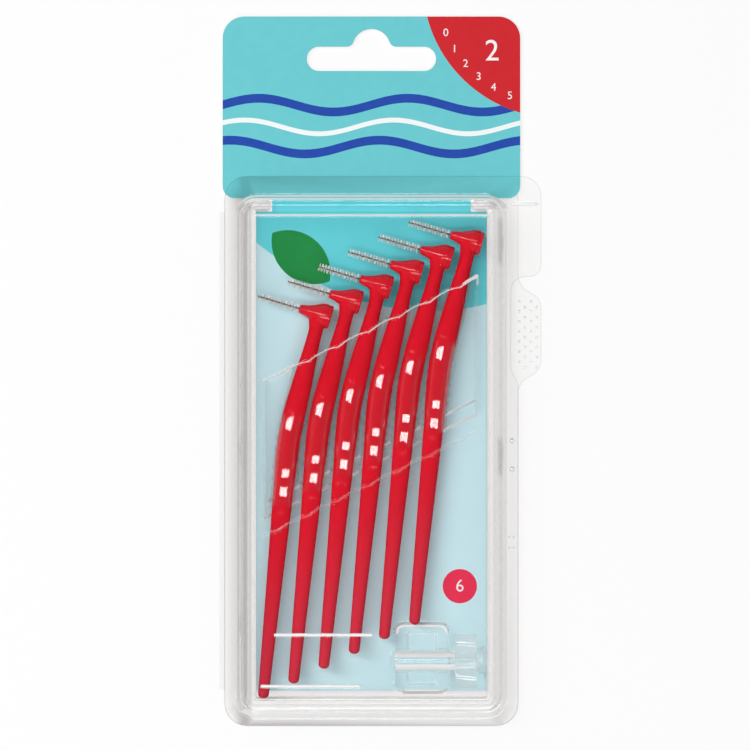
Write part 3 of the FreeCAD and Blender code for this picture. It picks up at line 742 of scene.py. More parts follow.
def make_tray(materials):
    bm = bmesh.new()
    half_x = (tray_high.x - tray_low.x) / 2
    half_y = (tray_high.y - tray_low.y) / 2
    sheet = add_sheet(bm, box_corners(half_x, half_y, TRAY_CORNER), TRAY_Z)
    xs = fine_ends(PAD_LEFT, PAD_RIGHT, edge=0.7, fine=0.1, inner=0.9, coarse=0.25)
    rises = []
    for start, end, step in LOW_ROWS:
        rises += even_steps(TRAY_PAD_LOW + start, TRAY_PAD_LOW + end, step)
    rises += even_steps(TRAY_PAD_LOW + ROWS_START, PAD_HIGH - ROWS_END, ROW_STEP)
    inside, outside, step = HIGH_ROWS
    rises += even_steps(PAD_HIGH - inside, PAD_HIGH + outside, step)
    pad = add_grid(bm, xs, rises, PAD_SLOPE, tray_pad_height)
    left, _, low, high = CRADLE
    cradle_xs = even_steps(left - CRADLE_MARGIN, half_x - TRAY_MARGIN, CRADLE_STEP)
    cradle_ys = even_steps(low - CRADLE_FOOT, high + CRADLE_MARGIN, CRADLE_ROW)
    cradle = add_grid(bm, cradle_xs, cradle_ys, 0, cradle_height)
    fill(bm, sheet, pad, cradle)
    mesh = thickened(bm, "formed_tray", tray_kind)
    new_piece("formed_tray", mesh, materials, "case_back", "clear_sheet", "brush_tray")


# Living hinge
FOLD_STEPS = 10
STRIP_PIECE = 4.0


def make_hinge(material):
    """A folded strip with a lower and an upper leg, made as one piece that rides no body."""
    low, high = box_mm("living_hinge")
    radius = (high.z - low.z) / 2
    inner = radius - SHOWN_SHEET
    axis_x = low.x + radius - CASE_X
    turns = [math.pi / 2 + math.pi * k / FOLD_STEPS for k in range(FOLD_STEPS + 1)]
    outer = [(axis_x + radius * math.cos(turn), radius + radius * math.sin(turn)) for turn in turns]
    fold = [(axis_x + inner * math.cos(turn), radius + inner * math.sin(turn)) for turn in reversed(turns)]
    end_x = high.x - CASE_X
    section = [(end_x, 2 * radius)] + outer + [(end_x, 0.0), (end_x, radius - inner)] + fold
    section.append((end_x, radius + inner))
    bm = bmesh.new()
    rings = [[(x, y - CASE_Y, z) for x, z in section] for y in even_steps(low.y, high.y, STRIP_PIECE)]
    for end in add_loft(bm, rings):
        fill(bm, end)
    mesh = closed_mesh(bm, "hinge_strip")
    strip = new_piece("hinge_strip", mesh, [material], None, "clear_sheet", "living_hinge")
    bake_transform(strip)


# Brushes: the handle's width, and the slope of its upper side, at places along it from the tail
WIDTHS = [(0, 2.7), (29, 4.0), (49, 5.0), (57.5, 5.6), (64.3, 5.7), (71, 5.45), (78.3, 4.8), (89.8, 3.45),
          (95.1, 4.2)]
DEPTH_SLOPES = [(0, 0.001), (44.2, 0.001), (45.6, 0.172), (47.2, 0.172), (50.4, 0.132), (54.9, 0.075),
                (61.3, 0.0), (67, -0.11), (69, -0.149), (70.2, -0.149), (70.5, 0.003), (89, 0.003),
                (92, 0.06), (95.1, 0.08)]
ALONG_STEP = 0.25
KNEE_REACH = 8
GRIP_START = 47.2
GRIP_END = 70.4
POLISH_RISE = 0.6
POLISH_FALL = (2.5, 0.5)
HEAD_POLISH = 0.4
TAIL_DEPTH = 2.6
TAIL_ROUNDING = 1.0
TAIL_SHARES = (0.4, 0.7, 0.9, 0.99)
RING_STEPS = 32

# The head's outline as places along the wire's axis and radii there, from the rear to inside the tip
HEAD_PROFILE = [(-2.85, 0.0), (-2.85, 2.4), (-2.8, 2.7), (-2.6, 2.9), (-2.2, 2.98), (-1.95, 2.98),
                (-1.9, 2.84), (-1.8, 2.84), (-1.75, 3.0), (-1.2, 3.04), (-0.6, 3.0), (0.0, 2.84),
                (0.6, 2.58), (1.3, 2.24), (2.0, 1.92), (2.8, 1.6), (3.6, 1.36), (4.4, 1.18), (5.0, 1.06),
                (5.22, 0.98), (5.32, 0.82), (5.35, 0.6), (5.35, 0.32), (5.0, 0.28), (4.6, 0.0)]
LEAST_RADIUS = 0.02
FLARE_START = 90.6
FLARE_END = 93.8
FLARE = 0.45


def through(knots, place):
    """A smooth curve through (place, value) knots."""
    last = len(knots) - 1
    k = max(index for index in range(last) if knots[index][0] <= place or index == 0)
    (x0, y0), (x1, y1) = knots[k], knots[k + 1]
    before, after = knots[max(k - 1, 0)], knots[min(k + 2, last)]
    slope0 = (y1 - before[1]) / (x1 - before[0])
    slope1 = (after[1] - y0) / (after[0] - x0)
    run = x1 - x0
    t = (place - x0) / run
    return ((2 * t ** 3 - 3 * t ** 2 + 1) * y0 + (t ** 3 - 2 * t ** 2 + t) * run * slope0
            + (3 * t ** 2 - 2 * t ** 3) * y1 + (t ** 3 - t ** 2) * run * slope1)


def straight(knots, place):
    """Straight lines through (place, value) knots."""
    for (x0, y0), (x1, y1) in zip(knots, knots[1:]):
        if place <= x1:
            return y0 + (y1 - y0) * (place - x0) / (x1 - x0)
    return knots[-1][1]


def handle_rings():
    """Oval sections from the tail to the head, on a spine that bends softly at the knee."""
    spot = Vector((0.0, 0.0))
    half_depth = TAIL_DEPTH / 2
    rings = []
    for count in range(int((SHAFT_LENGTH + NECK_LENGTH) / ALONG_STEP) + 1):
        along = count * ALONG_STEP
        bent = smoothstep(SHAFT_LENGTH - KNEE_REACH, SHAFT_LENGTH + KNEE_REACH, along)
        lean = SHAFT_LEAN + (NECK_LEAN - SHAFT_LEAN) * bent
        if count % 2 == 0:
            flare = FLARE / 2 * smoothstep(FLARE_START, FLARE_END, along)
            to_front = Vector((-math.cos(lean), math.sin(lean))) * flare
            rings.append((spot + to_front, lean, through(WIDTHS, along) / 2 + flare, half_depth))
        spot += heading(lean) * ALONG_STEP
        half_depth += straight(DEPTH_SLOPES, along + ALONG_STEP / 2) * ALONG_STEP
    for share in TAIL_SHARES:
        swell = math.sqrt(1 - share * share)
        spot = -heading(SHAFT_LEAN) * TAIL_ROUNDING * share
        rings.insert(0, (spot, SHAFT_LEAN, WIDTHS[0][1] / 2 * swell, TAIL_DEPTH / 2 * swell))
    return rings


def add_tube(bm, rings):
    """Join closed rings of points and cap both ends."""
    made = join_rings(bm, rings)
    bm.faces.new(made[0])
    bm.faces.new(made[-1][::-1])


def head_matrix():
    """From the wire's own axis, its X, to the brush: the neck's end is the origin."""
    return Matrix.Rotation(math.pi - HEAD_TILT, 3, "Z")


def polish_share(along):
    """The grip is polished; the rest is satin."""
    start, end = POLISH_FALL
    rise = smoothstep(GRIP_START - POLISH_RISE, GRIP_START, along)
    return rise * (1 - smoothstep(GRIP_END - start, GRIP_END - end, along))


def handle_mesh():
    bm = bmesh.new()
    polish = bm.verts.layers.float.new("polish")
    tail = bm.verts.layers.float.new("tail")
    turns = [math.tau * k / RING_STEPS for k in range(RING_STEPS)]
    shaft = []
    for spot, lean, half_width, half_depth in handle_rings():
        side = Vector((math.cos(lean), -math.sin(lean), 0))
        shaft.append([(Vector((*spot, 0)) + side * half_width * math.cos(turn)
                       + Vector((0, 0, half_depth * math.sin(turn)))) * MM for turn in turns])
    add_tube(bm, shaft)
    for vert in bm.verts:
        along = vert.co.xy.dot(heading(SHAFT_LEAN)) / MM
        vert[polish] = polish_share(along)
        vert[tail] = 1 - smoothstep(0, GRIP_START, along)
    first_tail, _, first_head = SPINES[0]
    neck_end = Vector((*(first_head - first_tail), 0))
    lathe = []
    for along, radius in HEAD_PROFILE:
        radius = max(radius, LEAST_RADIUS)
        ring = [Vector((along, radius * math.cos(turn), radius * math.sin(turn))) for turn in turns]
        lathe.append([(neck_end + head_matrix() @ point) * MM for point in ring])
    known = set(bm.verts)
    add_tube(bm, lathe)
    for vert in bm.verts:
        if vert not in known:
            vert[polish] = HEAD_POLISH
    return closed_mesh(bm, "brush_handle", angle=32)


WIRE_ROOT = 1.0
WIRE_SIDES = 6
WIRE_CUTS = 10


def wire_mesh():
    """Two strands twisted together, from inside the head to the tip."""
    bm = bmesh.new()
    strand = WIRE_WIDTH / 4
    start, end = HEAD_FRONT - WIRE_ROOT, HEAD_FRONT + WIRE_REACH
    around = [math.tau * k / WIRE_SIDES for k in range(WIRE_SIDES)]
    offsets = [Vector((0, strand * math.cos(turn), strand * math.sin(turn))) for turn in around]
    for phase in (0.0, math.pi):
        rings = []
        for along in even_steps(start, end, WIRE_LEAD / WIRE_CUTS):
            turn = math.tau * along / WIRE_LEAD + phase
            middle = Vector((along, strand * math.cos(turn), strand * math.sin(turn)))
            rings.append([head_matrix() @ (middle + offset) * MM for offset in offsets])
        add_tube(bm, rings)
    return closed_mesh(bm, "twisted_wire", angle=50)


HAIR_SEED = 5
HAIR_THICKNESS = 0.045
HAIR_STEP = 0.06
HAIR_TURN = 0.1
HAIR_LEAN = 0.12
HAIR_SHORTEST = 0.86
BARE_TIP = 0.25
TIP_TAPER = 0.15
TAPER_START = 0.4
TAPER_LENGTH = 2.0


def bristle_mesh():
    """Fine filaments clamped in the wire, turning with its twist and a little shorter at the tip."""
    bm = bmesh.new()
    rng = random.Random(HAIR_SEED)
    tip = HEAD_FRONT + WIRE_REACH - BARE_TIP
    side = Vector((HAIR_THICKNESS, 0, 0))
    for along in even_steps(tip - BRISTLE_SPAN, tip, HAIR_STEP):
        turn = math.tau * along / BRISTLE_LEAD + rng.uniform(-HAIR_TURN, HAIR_TURN)
        lean = rng.uniform(-HAIR_LEAN, HAIR_LEAN)
        taper = 1 - TIP_TAPER + TIP_TAPER * smoothstep(0.0, TAPER_LENGTH, tip - along + TAPER_START)
        reach = BRISTLE_WIDTH / 2 * rng.uniform(HAIR_SHORTEST, 1.0) * taper
        hair = Vector((lean, math.cos(turn), math.sin(turn)))
        across = hair.cross(Vector((1, 0, 0))).normalized() * HAIR_THICKNESS
        rings = []
        for share in (-1, 1):
            end = Vector((along, 0, 0)) + hair * reach * share
            corners = (end + across, end + side - across / 2, end - side - across / 2)
            rings.append([head_matrix() @ corner * MM for corner in corners])
        add_tube(bm, rings)
    return closed_mesh(bm, "bristle_spiral", angle=80)


def make_brushes(red, steel, nylon):
    handle, wire, bristles = handle_mesh(), wire_mesh(), bristle_mesh()
    for k, (tail, _, head) in zip(BRUSHES, SPINES):
        shaft = new_piece(f"brush_handle_{k}", handle, [red], None, "red_plastic", f"handle_{k}")
        shaft.location = frame_point(*tail, AXIS_Z)
        core = new_piece(f"twisted_wire_{k}", wire, [steel], None, "steel_wire", f"wire_{k}")
        hairs = new_piece(f"bristle_spiral_{k}", bristles, [nylon], None, "bristle_nylon", f"bristles_{k}")
        core.location = hairs.location = frame_point(*head, AXIS_Z)
        for piece in (shaft, core, hairs):
            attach(piece, f"brush_{k}")


# Protective cap: kinds of face as places in its list of materials, and the normals of its bands of painted
# glint
CLEAR, PAINTED_GLINT, HAZE = range(3)
PAINTED_GLINT_BANDS = [(0.42, 0.86), (-0.76, -0.28)]
PAINTED_GLINT_START = 1.5
CAP_STEPS = 48
CAP_WALL = 0.6
COLLAR_LENGTH = 5.5
TUBE_START = 4.0
TUBE_END = 0.3
TUBE_PIECE = 2.0
ROUND_POWER = 2
SQUARE_POWER = 6

# Rings as (place, radius, share of the collar's spread): the nose, the collar's two ends and the bore's end
NOSE = [(0.0, 0.4, 0), (0.03, 1.0, 0), (0.3, 1.75, 0), (0.9, 2.35, 0), (1.8, 2.66, 0), (2.6, CAP_RADIUS, 0)]
COLLAR_START = [(0, 2.72, 0.0), (0.02, 2.6, 0.75), (0.12, 2.66, 0.9), (0.5, CAP_RADIUS, 1)]
COLLAR_END = [(-0.4, CAP_RADIUS, 1), (-0.08, 2.6, 0.97), (0, 2.4, 0.9)]
BORE_LIP = 0.1
BORE_LEAD = 0.3
BORE_END = [(4.0, 1), (2.0, 0.95), (1.1, 0.7), (0.7, 0.25)]


def make_cap(materials):
    """A tube with a round nose, a flat gripping collar and a bore."""
    cap_x = cap_low.x
    length = cap_high.x - cap_low.x
    collar_x = length - COLLAR_LENGTH
    half_span = (cap_high.y - cap_low.y) / 2
    bore = CAP_RADIUS - CAP_WALL
    rings = NOSE + [(x, CAP_RADIUS, 0) for x in even_steps(TUBE_START, collar_x - TUBE_END, TUBE_PIECE)]
    rings += [(collar_x + x, radius, spread) for x, radius, spread in COLLAR_START]
    rings += [(length + x, radius, spread) for x, radius, spread in COLLAR_END]
    rings += [(length, bore + BORE_LIP, 0), (length - BORE_LEAD, bore, 0)]
    rings += [(x, bore * share, 0) for x, share in BORE_END]
    bm = bmesh.new()
    made = []
    for x, radius, spread in rings:
        half = radius + (half_span - CAP_RADIUS) * spread
        power = ROUND_POWER + (SQUARE_POWER - ROUND_POWER) * spread
        ring = []
        for k in range(CAP_STEPS):
            turn = math.tau * k / CAP_STEPS
            cosine, sine = math.cos(turn), math.sin(turn)
            reach = (abs(cosine / half) ** power + abs(sine / radius) ** power) ** (-1 / power)
            ring.append(Vector((cap_x + x, CAP_Y + reach * cosine, CAP_Z + reach * sine)) * MM)
        made.append(ring)
    add_tube(bm, made)
    mesh = closed_mesh(bm, "moulded_cap", angle=50)
    for face in mesh.polygons:
        along = face.center.x / MM - cap_x
        outward = face.normal.dot(face.center - Vector((face.center.x, CAP_Y * MM, CAP_Z * MM))) > 0
        in_painted_glint = any(low < face.normal.y < high for low, high in PAINTED_GLINT_BANDS)
        if along > collar_x:
            face.material_index = HAZE
        # Up-facing faces in the bands take a painted glint, a painted highlight on the tube
        elif outward and along > PAINTED_GLINT_START and in_painted_glint:
            face.material_index = PAINTED_GLINT if face.normal.z > 0 else CLEAR
    new_piece("moulded_cap", mesh, materials, "cap", "clear_cap", "protective_cap")


# Materials
PALE = (0.998, 0.992, 0.988, 1.0)
PAINTED_SHADE_GREY = (0.72, 0.705, 0.7, 1.0)
CUT_TINT = (0.86, 0.85, 0.845, 1.0)
CAP_TINT = (0.985, 0.99, 0.992, 1.0)
LIGHT_SHADE = (0.99, 0.99, 0.99, 1.0)
WALL_SHADE = (0.85, 0.85, 0.85, 1.0)
THIN_IOR = 1.001
CLOUDING = 0.02
TAIL_FADE = 0.8
GRIP_COAT = 0.95
LEAST_COAT = 0.05


def linear(red, green, blue):
    """A colour given as 8-bit screen values, for a shader; none of them is under 11."""
    return tuple(((value / 255 + 0.055) / 1.055) ** 2.4 for value in (red, green, blue)) + (1.0,)


class Shader:
    """A node material that is put together in a few lines."""

    def __init__(self, name):
        self.material = bpy.data.materials.new(name)
        self.material.use_nodes = True
        self.nodes = self.material.node_tree.nodes
        self.nodes.clear()
        self.output = self.add("ShaderNodeOutputMaterial")

    def add(self, kind, inputs=None, **properties):
        node = self.nodes.new(kind)
        for name, value in properties.items():
            setattr(node, name, value)
        for name, value in (inputs or {}).items():
            self.feed(node.inputs[name], value)
        return node

    def feed(self, socket, value):
        if isinstance(value, bpy.types.NodeSocket):
            self.material.node_tree.links.new(value, socket)
        else:
            socket.default_value = value

    def math(self, operation, first, second=0.0, third=0.0):
        node = self.add("ShaderNodeMath", operation=operation)
        for socket, value in zip(node.inputs, (first, second, third)):
            self.feed(socket, value)
        return node.outputs[0]

    def mix(self, share, first, second):
        node = self.add("ShaderNodeMix", data_type="RGBA")
        for socket, value in zip((node.inputs[0], node.inputs[6], node.inputs[7]), (share, first, second)):
            self.feed(socket, value)
        return node.outputs[2]

    def noise(self, scale, detail=2.0):
        place = self.add("ShaderNodeTexCoord").outputs["Object"]
        inputs = {"Vector": place, "Scale": scale, "Detail": detail}
        return self.add("ShaderNodeTexNoise", inputs).outputs["Fac"]

    def bump(self, height, strength, distance):
        inputs = {"Height": height, "Strength": strength, "Distance": distance}
        return self.add("ShaderNodeBump", inputs).outputs[0]

    def attribute(self, name):
        return self.add("ShaderNodeAttribute", attribute_name=name).outputs["Fac"]

    def principled(self, inputs):
        return self.add("ShaderNodeBsdfPrincipled", inputs).outputs[0]

    def lets_light_through(self, surface, shade):
        """The surface for what looks at it; lamps and bounced light pass it with a little shade."""
        open_way = self.add("ShaderNodeBsdfTransparent", {"Color": shade}).outputs[0]
        rays = self.add("ShaderNodeLightPath").outputs
        for kind in ("Is Diffuse Ray", "Is Shadow Ray"):
            way = self.add("ShaderNodeMixShader", {"Fac": rays[kind]})
            self.feed(way.inputs[1], surface)
            self.feed(way.inputs[2], open_way)
            surface = way.outputs[0]
        return surface

    def finish(self, surface):
        self.feed(self.output.inputs["Surface"], surface)
        return self.material


def clear_plastic(name, tint, bend, gloss, shade):
    """Clear plastic: a glossy skin over a body that bends the view a little; it lets lamps through. Its
    colour is greyed by slight random clouding and by painted shade from the side attribute.
    """
    shader = Shader(name)
    side = shader.attribute("side")
    # Painted shade: the side attribute greys the colour, over slight random clouding
    clouding_and_painted_shade = shader.math("MULTIPLY_ADD", shader.noise(160.0, 3.0), CLOUDING, side)
    waves = shader.bump(shader.noise(90.0, 1.0), strength=0.05, distance=0.0005)
    glass = shader.principled({
        "Base Color": shader.mix(clouding_and_painted_shade, tint, PAINTED_SHADE_GREY), "Roughness": 0.02, "IOR": bend,
        "Transmission Weight": 1.0, "Coat Weight": gloss, "Coat IOR": 1.42, "Coat Roughness": 0.03,
        "Normal": waves, "Coat Normal": waves})
    return shader.finish(shader.lets_light_through(glass, shade))


def frosted_edge(name, clearness):
    """A whitish skin: a painted highlight on the sheets' drawn edges and the cap's bands, and white haze on
    the cap's collar.
    """
    shader = Shader(name)
    haze = shader.mix(shader.noise(700.0, 3.0), (0.9, 0.9, 0.9, 1.0), (1.0, 1.0, 1.0, 1.0))
    edge = shader.principled({
        "Base Color": haze, "Roughness": 0.1, "IOR": THIN_IOR, "Transmission Weight": clearness,
        "Coat Weight": 1.0, "Coat IOR": 1.5, "Coat Roughness": 0.05})
    return shader.finish(shader.lets_light_through(edge, LIGHT_SHADE))


def red_plastic():
    shader = Shader("handle_red")
    flow = shader.noise(300.0, 3.0)
    colour = shader.mix(flow, linear(212, 18, 36), linear(226, 28, 48))
    tail = shader.attribute("tail")
    colour = shader.mix(shader.math("MULTIPLY", tail, TAIL_FADE), colour, linear(208, 55, 74))
    polish = shader.attribute("polish")
    coat = shader.math("MULTIPLY_ADD", polish, GRIP_COAT, LEAST_COAT)
    grain = shader.bump(shader.noise(2500.0, 2.0), strength=0.03, distance=0.00003)
    return shader.finish(shader.principled({
        "Base Color": colour, "Roughness": 0.5, "Specular IOR Level": 0.0, "Coat Weight": coat,
        "Coat IOR": 2.0, "Coat Roughness": 0.015, "Subsurface Weight": 0.05,
        "Subsurface Radius": (0.002, 0.0006, 0.0004), "Normal": grain}))


def steel_wire():
    shader = Shader("wire_steel")
    tone = shader.mix(shader.noise(4000.0), linear(92, 66, 62), linear(140, 108, 100))
    return shader.finish(shader.principled({"Base Color": tone, "Metallic": 0.8, "Roughness": 0.35}))


def nylon_hair():
    shader = Shader("bristle_white")
    tone = shader.mix(shader.noise(3000.0), linear(226, 228, 226), linear(250, 250, 248))
    return shader.finish(shader.principled({
        "Base Color": tone, "Roughness": 0.5, "Subsurface Weight": 0.2,
        "Subsurface Radius": (0.0005, 0.0005, 0.0005)}))


# Card print, in millimetres of the frame
DIAL_CENTRE = (44.1, 96.3)
DIAL_RADIUS = 33.5
WAVE_FOOT = (12.4, 14.9)
WAVE_BEND = 0.00915
CASE_SEAM = 43.0
DISC_CENTRE = (19.8, -53.3)
DISC_RADIUS = 4.25
LENS_CENTRE = (-19.6, 28.3)
LENS_RADIUS = 10.6
LENS_OFFSET = (3.3, 3.9)
WAVE_SWING = 1.7
WAVE_TURN = 0.17
UP_FACING = 0.5

# Waves on the header: middle, half width and phase; the thin one is white
HEADER_WAVES = [(66.0, 1.1, 0.4), (60.6, 0.6, 1.0), (55.6, 1.1, 1.6)]

# Foot of the header: where it lies on the card, and how far it is let down
HEADER_FOOT = 44.3
HEADER_FOOT_CORNER = 3.3
HEADER_DROP = 1.5


def printed_card():
    """Teal over pale blue with a curved border, waves, a dial, a disc and a lens; the teal is painted lighter
    inside the case, and its edges are white.
    """
    shader = Shader("card_print")
    places = shader.add("ShaderNodeTexCoord")
    spot = shader.add("ShaderNodeSeparateXYZ", {"Vector": places.outputs["Object"]})
    x = shader.math("DIVIDE", spot.outputs["X"], MM)
    y = shader.math("DIVIDE", spot.outputs["Y"], MM)
    mottle = shader.noise(400.0, 4.0)

    def tone(first, second):
        return shader.mix(mottle, linear(*first), linear(*second))

    def squared_from(place, value):
        return shader.math("POWER", shader.math("SUBTRACT", place, value), 2.0)

    def within(centre, radius):
        squares = shader.math("ADD", squared_from(x, centre[0]), squared_from(y, centre[1]))
        return shader.math("LESS_THAN", shader.math("SQRT", squares), radius)

    bend = squared_from(x, WAVE_FOOT[0])
    border = shader.math("MULTIPLY_ADD", bend, WAVE_BEND, WAVE_FOOT[1])
    low = shader.math("LESS_THAN", y, border)
    # Inside the case the teal is painted lighter, painted light that makes up for the sheets laid over it
    inner = shader.math("LESS_THAN", y, CASE_SEAM)
    teal = shader.mix(inner, tone((106, 200, 207), (114, 208, 214)), tone((100, 215, 226), (108, 221, 231)))
    colour = shader.mix(low, teal, tone((203, 238, 246), (209, 243, 251)))
    navy = tone((36, 70, 166), (46, 82, 178))
    white = tone((240, 246, 248), (250, 252, 252))
    for middle, half, phase in HEADER_WAVES:
        turn = shader.math("SINE", shader.math("MULTIPLY_ADD", x, WAVE_TURN, phase))
        line = shader.math("MULTIPLY_ADD", turn, WAVE_SWING, middle)
        band = shader.math("COMPARE", y, line, half)
        colour = shader.mix(band, colour, white if half < 1 else navy)
    centres = [Vector(LENS_CENTRE) + side * Vector(LENS_OFFSET) for side in (-1, 1)]
    lens = [within(centre, LENS_RADIUS) for centre in centres]
    colour = shader.mix(shader.math("MULTIPLY", *lens), colour, tone((30, 138, 68), (38, 148, 76)))
    colour = shader.mix(within(DIAL_CENTRE, DIAL_RADIUS), colour, tone((206, 39, 47), (212, 45, 53)))
    colour = shader.mix(within(DISC_CENTRE, DISC_RADIUS), colour, tone((235, 49, 85), (241, 55, 91)))
    facing = shader.add("ShaderNodeSeparateXYZ", {"Vector": places.outputs["Normal"]}).outputs["Z"]
    board = tone((232, 230, 226), (240, 238, 234))
    colour = shader.mix(shader.math("GREATER_THAN", facing, UP_FACING), board, colour)
    grain = shader.bump(shader.noise(1800.0, 3.0), strength=0.05, distance=0.00005)
    return shader.finish(shader.principled({
        "Base Color": colour, "Roughness": 0.6, "Specular IOR Level": 0.08, "Normal": grain}))


def make_card(material):
    """The insert card, with the foot of its header let down to the rim."""
    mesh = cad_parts["insert_card"].data.copy()
    mesh.name = "printed_card"
    for vertex in mesh.vertices:
        if HEADER_FOOT < vertex.co.y / MM < HEADER_FOOT + HEADER_FOOT_CORNER:
            vertex.co.y -= HEADER_DROP * MM
    mesh.materials.clear()
    new_piece("printed_card", mesh, [material], "case_back", "printed_card", "insert_card")


# Plain numbers
DIGIT_SHARE = 0.7
INK_THICKNESS = 0.004
INK_LIFT = 0.008
SCALE_INSET = 3.1
SCALE_START = 204
SCALE_STEP = 8.6
SCALE_HEIGHT = 1.9
SIZE_PLACE = (27.8, 79.3)
SIZE_HEIGHT = 5.2
COUNT_HEIGHT = 3.0


def white_ink():
    shader = Shader("ink_white")
    tone = shader.mix(shader.noise(500.0, 4.0), linear(250, 250, 248), linear(240, 242, 242))
    return shader.finish(shader.principled({
        "Base Color": tone, "Roughness": 0.6, "Specular IOR Level": 0.15}))


def add_number(bm, text, x, y, height):
    """A plain number, centred on a place of the card, as a thin layer of ink."""
    curve = bpy.data.curves.new("number", "FONT")
    curve.body = text
    curve.align_x = "CENTER"
    curve.align_y = "CENTER"
    curve.size = height * MM / DIGIT_SHARE
    curve.extrude = INK_THICKNESS * MM
    mesh = evaluated_mesh(in_scene("number", curve))
    mesh.transform(Matrix.Translation(Vector((x, y, CARD_TOP + INK_LIFT)) * MM))
    bm.from_mesh(mesh)


def make_numbers(material):
    """A scale on the dial, the size beside it, and the count on the disc."""
    bm = bmesh.new()
    scale_radius = DIAL_RADIUS - SCALE_INSET
    for number in range(6):
        turn = math.radians(SCALE_START + SCALE_STEP * number)
        add_number(bm, str(number), DIAL_CENTRE[0] + scale_radius * math.cos(turn),
                   DIAL_CENTRE[1] + scale_radius * math.sin(turn), SCALE_HEIGHT)
    add_number(bm, "2", *SIZE_PLACE, SIZE_HEIGHT)
    add_number(bm, "6", *DISC_CENTRE, COUNT_HEIGHT)
    new_piece("card_numbers", smooth_mesh(bm, "card_numbers"), [material], "case_back", "printed_card")


# Stage, light and camera
FLOOR_SIZE = 3.0
FLOOR_DROP = 0.05
FLOOR_GLOW = 0.7


def make_floor():
    """A pale floor that looks white to the camera, in mirrors and through clear sheets."""
    bm = bmesh.new()
    bmesh.ops.create_grid(bm, x_segments=4, y_segments=4, size=FLOOR_SIZE)
    floor = in_scene("studio_floor", smooth_mesh(bm, "studio_floor"))
    floor.location.z = -FLOOR_DROP * MM
    shader = Shader("floor_pale")
    paper = shader.add("ShaderNodeBsdfDiffuse", {"Color": (0.95, 0.95, 0.95, 1.0)}).outputs[0]
    glow = shader.add("ShaderNodeEmission", {"Color": (1.0, 1.0, 1.0, 1.0), "Strength": 1.0}).outputs[0]
    rays = shader.add("ShaderNodeLightPath").outputs
    seen = shader.math("MAXIMUM", rays["Is Camera Ray"],
                       shader.math("MAXIMUM", rays["Is Glossy Ray"], rays["Is Transmission Ray"]))
    mixed = shader.add("ShaderNodeMixShader", {"Fac": shader.math("MULTIPLY", seen, FLOOR_GLOW)})
    shader.feed(mixed.inputs[1], paper)
    shader.feed(mixed.inputs[2], glow)
    floor.data.materials.append(shader.finish(mixed.outputs[0]))


def make_world():
    """A grey room, brighter near the floor than overhead."""
    world = bpy.data.worlds.new("studio")
    world.use_nodes = True
    nodes, links = world.node_tree.nodes, world.node_tree.links
    back = nodes["Background"]
    place = nodes.new("ShaderNodeTexCoord")
    height = nodes.new("ShaderNodeSeparateXYZ")
    ramp = nodes.new("ShaderNodeMapRange")
    for name, value in (("From Min", 0.0), ("From Max", 0.9), ("To Min", 0.25), ("To Max", 0.06)):
        ramp.inputs[name].default_value = value
    links.new(place.outputs["Generated"], height.inputs[0])
    links.new(height.outputs["Z"], ramp.inputs["Value"])
    links.new(ramp.outputs["Result"], back.inputs["Strength"])
    back.inputs["Color"].default_value = (1.0, 1.0, 1.0, 1.0)
    bpy.context.scene.world = world


def add_softbox(name, tilt, turn, distance, size, radiance, mirrored=True, roll=0.0, slide=0.0):
    """An area lamp that faces the case from a tilt off the vertical, towards a turn from +Y, in degrees.

    It is rolled about its own axis, then slid along its own length.
    """
    tilt, turn, roll = math.radians(tilt), math.radians(turn), math.radians(roll)
    data = bpy.data.lights.new(name, "AREA")
    data.shape = "RECTANGLE"
    data.size, data.size_y = size
    data.energy = radiance * math.pi * size[0] * size[1]
    lamp = in_scene(name, data)
    way = Vector((-math.sin(turn) * math.sin(tilt), math.cos(turn) * math.sin(tilt), math.cos(tilt)))
    across = Vector((0.0, 0.0, 1.0)).cross(way).normalized()
    across = Matrix.Rotation(roll, 3, way) @ across
    lamp.location = way * distance + across * slide
    lamp.rotation_euler = Matrix((across, way.cross(across), way)).transposed().to_euler()
    lamp.visible_camera = False
    lamp.visible_glossy = mirrored
    lamp.visible_transmission = mirrored


STRIP_DISTANCE = 1.5
STRIP_RADIANCE = 8.0
STRIP_BEND = 1.8


def add_strip(name, tilt, turn, length, width, roll, slide=0.0):
    """A long lamp for the highlights, in two halves bent back a little so that they mirror straight."""
    for half, sign in (("a", 1), ("b", -1)):
        own_length = length / 2 + sign * slide
        add_softbox(f"{name}_{half}", tilt, turn, STRIP_DISTANCE, (own_length, width), STRIP_RADIANCE,
                    roll=roll - sign * STRIP_BEND, slide=sign * own_length / 2)


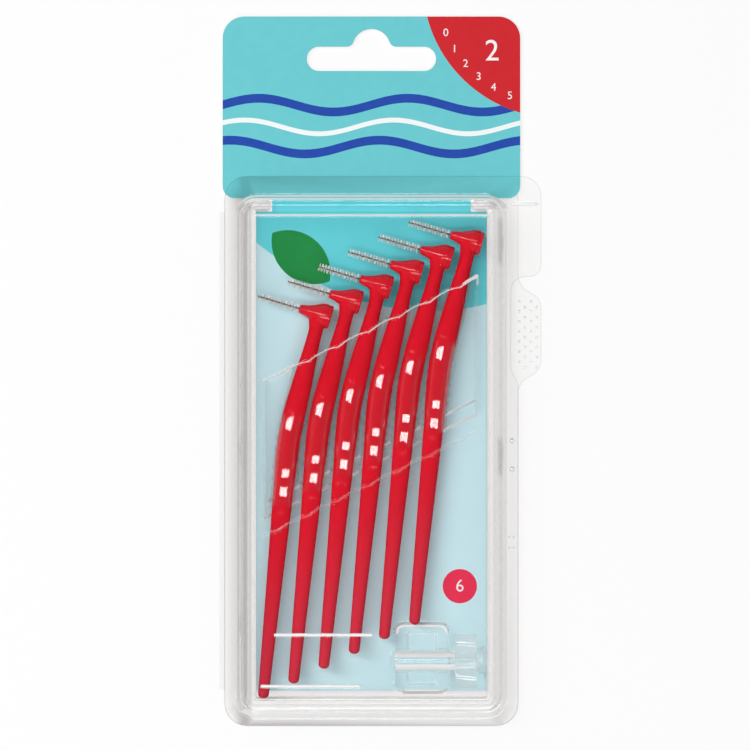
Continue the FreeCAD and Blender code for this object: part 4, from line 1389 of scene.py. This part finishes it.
def make_lights():
    add_softbox("foot_box", tilt=40, turn=180, distance=1.4, size=(1.2, 0.8), radiance=1.6, mirrored=False)
    add_softbox("left_box", tilt=42, turn=65, distance=1.4, size=(0.8, 0.8), radiance=2.55, mirrored=False)
    add_strip("upper_strip", tilt=11.5, turn=0, length=2.2, width=0.21, roll=-11.0, slide=1.0)
    add_strip("lower_strip", tilt=10.7, turn=180, length=2.2, width=0.075, roll=-5.6, slide=0.15)
    add_strip("lowest_strip", tilt=17.5, turn=180, length=2.0, width=0.085, roll=-5.6)


# The field of view in millimetres, and the camera's height over the card
PHOTO_WIDTH = 186.0
PHOTO_CENTRE = (-1.24, -0.93)
CAMERA_DISTANCE = 1200.0


def make_camera():
    data = bpy.data.cameras.new("camera")
    data.sensor_width = 36.0
    data.lens = data.sensor_width * CAMERA_DISTANCE / PHOTO_WIDTH
    camera = in_scene("camera", data)
    camera.location = Vector((*PHOTO_CENTRE, CARD_TOP + CAMERA_DISTANCE)) * MM
    data.clip_start = 0.05
    data.clip_end = 20.0
    bpy.context.scene.camera = camera


clear_sheet = clear_plastic("clear_sheet", PALE, bend=THIN_IOR, gloss=0.5, shade=LIGHT_SHADE)
clear_wall = clear_plastic("clear_wall", PALE, bend=THIN_IOR, gloss=0.0, shade=WALL_SHADE)
# The whitish edge materials are painted highlights that stand in for the lamps' reflections on the sheets'
# edges
painted_highlight_edge = frosted_edge("painted_highlight_edge", clearness=0.15)
cut_edge = clear_plastic("cut_edge", CUT_TINT, bend=THIN_IOR, gloss=0.5, shade=LIGHT_SHADE)
formed_sheet = [clear_sheet, painted_highlight_edge, clear_wall, frosted_edge("painted_soft_highlight", clearness=0.82), cut_edge]
clear_cap = clear_plastic("clear_cap", CAP_TINT, bend=1.03, gloss=0.8, shade=LIGHT_SHADE)
make_cover(formed_sheet)
make_back(formed_sheet)
make_tray(formed_sheet)
make_hinge(clear_sheet)
# The cap's glint bands are a painted highlight; its collar is whitish haze
make_cap([clear_cap, frosted_edge("cap_painted_glint", clearness=0.15), frosted_edge("cap_haze", clearness=0.86)])
make_brushes(red_plastic(), steel_wire(), nylon_hair())
make_card(printed_card())
make_numbers(white_ink())
make_floor()
make_world()
make_lights()
make_camera()
bpy.context.scene.view_settings.view_transform = "Standard"
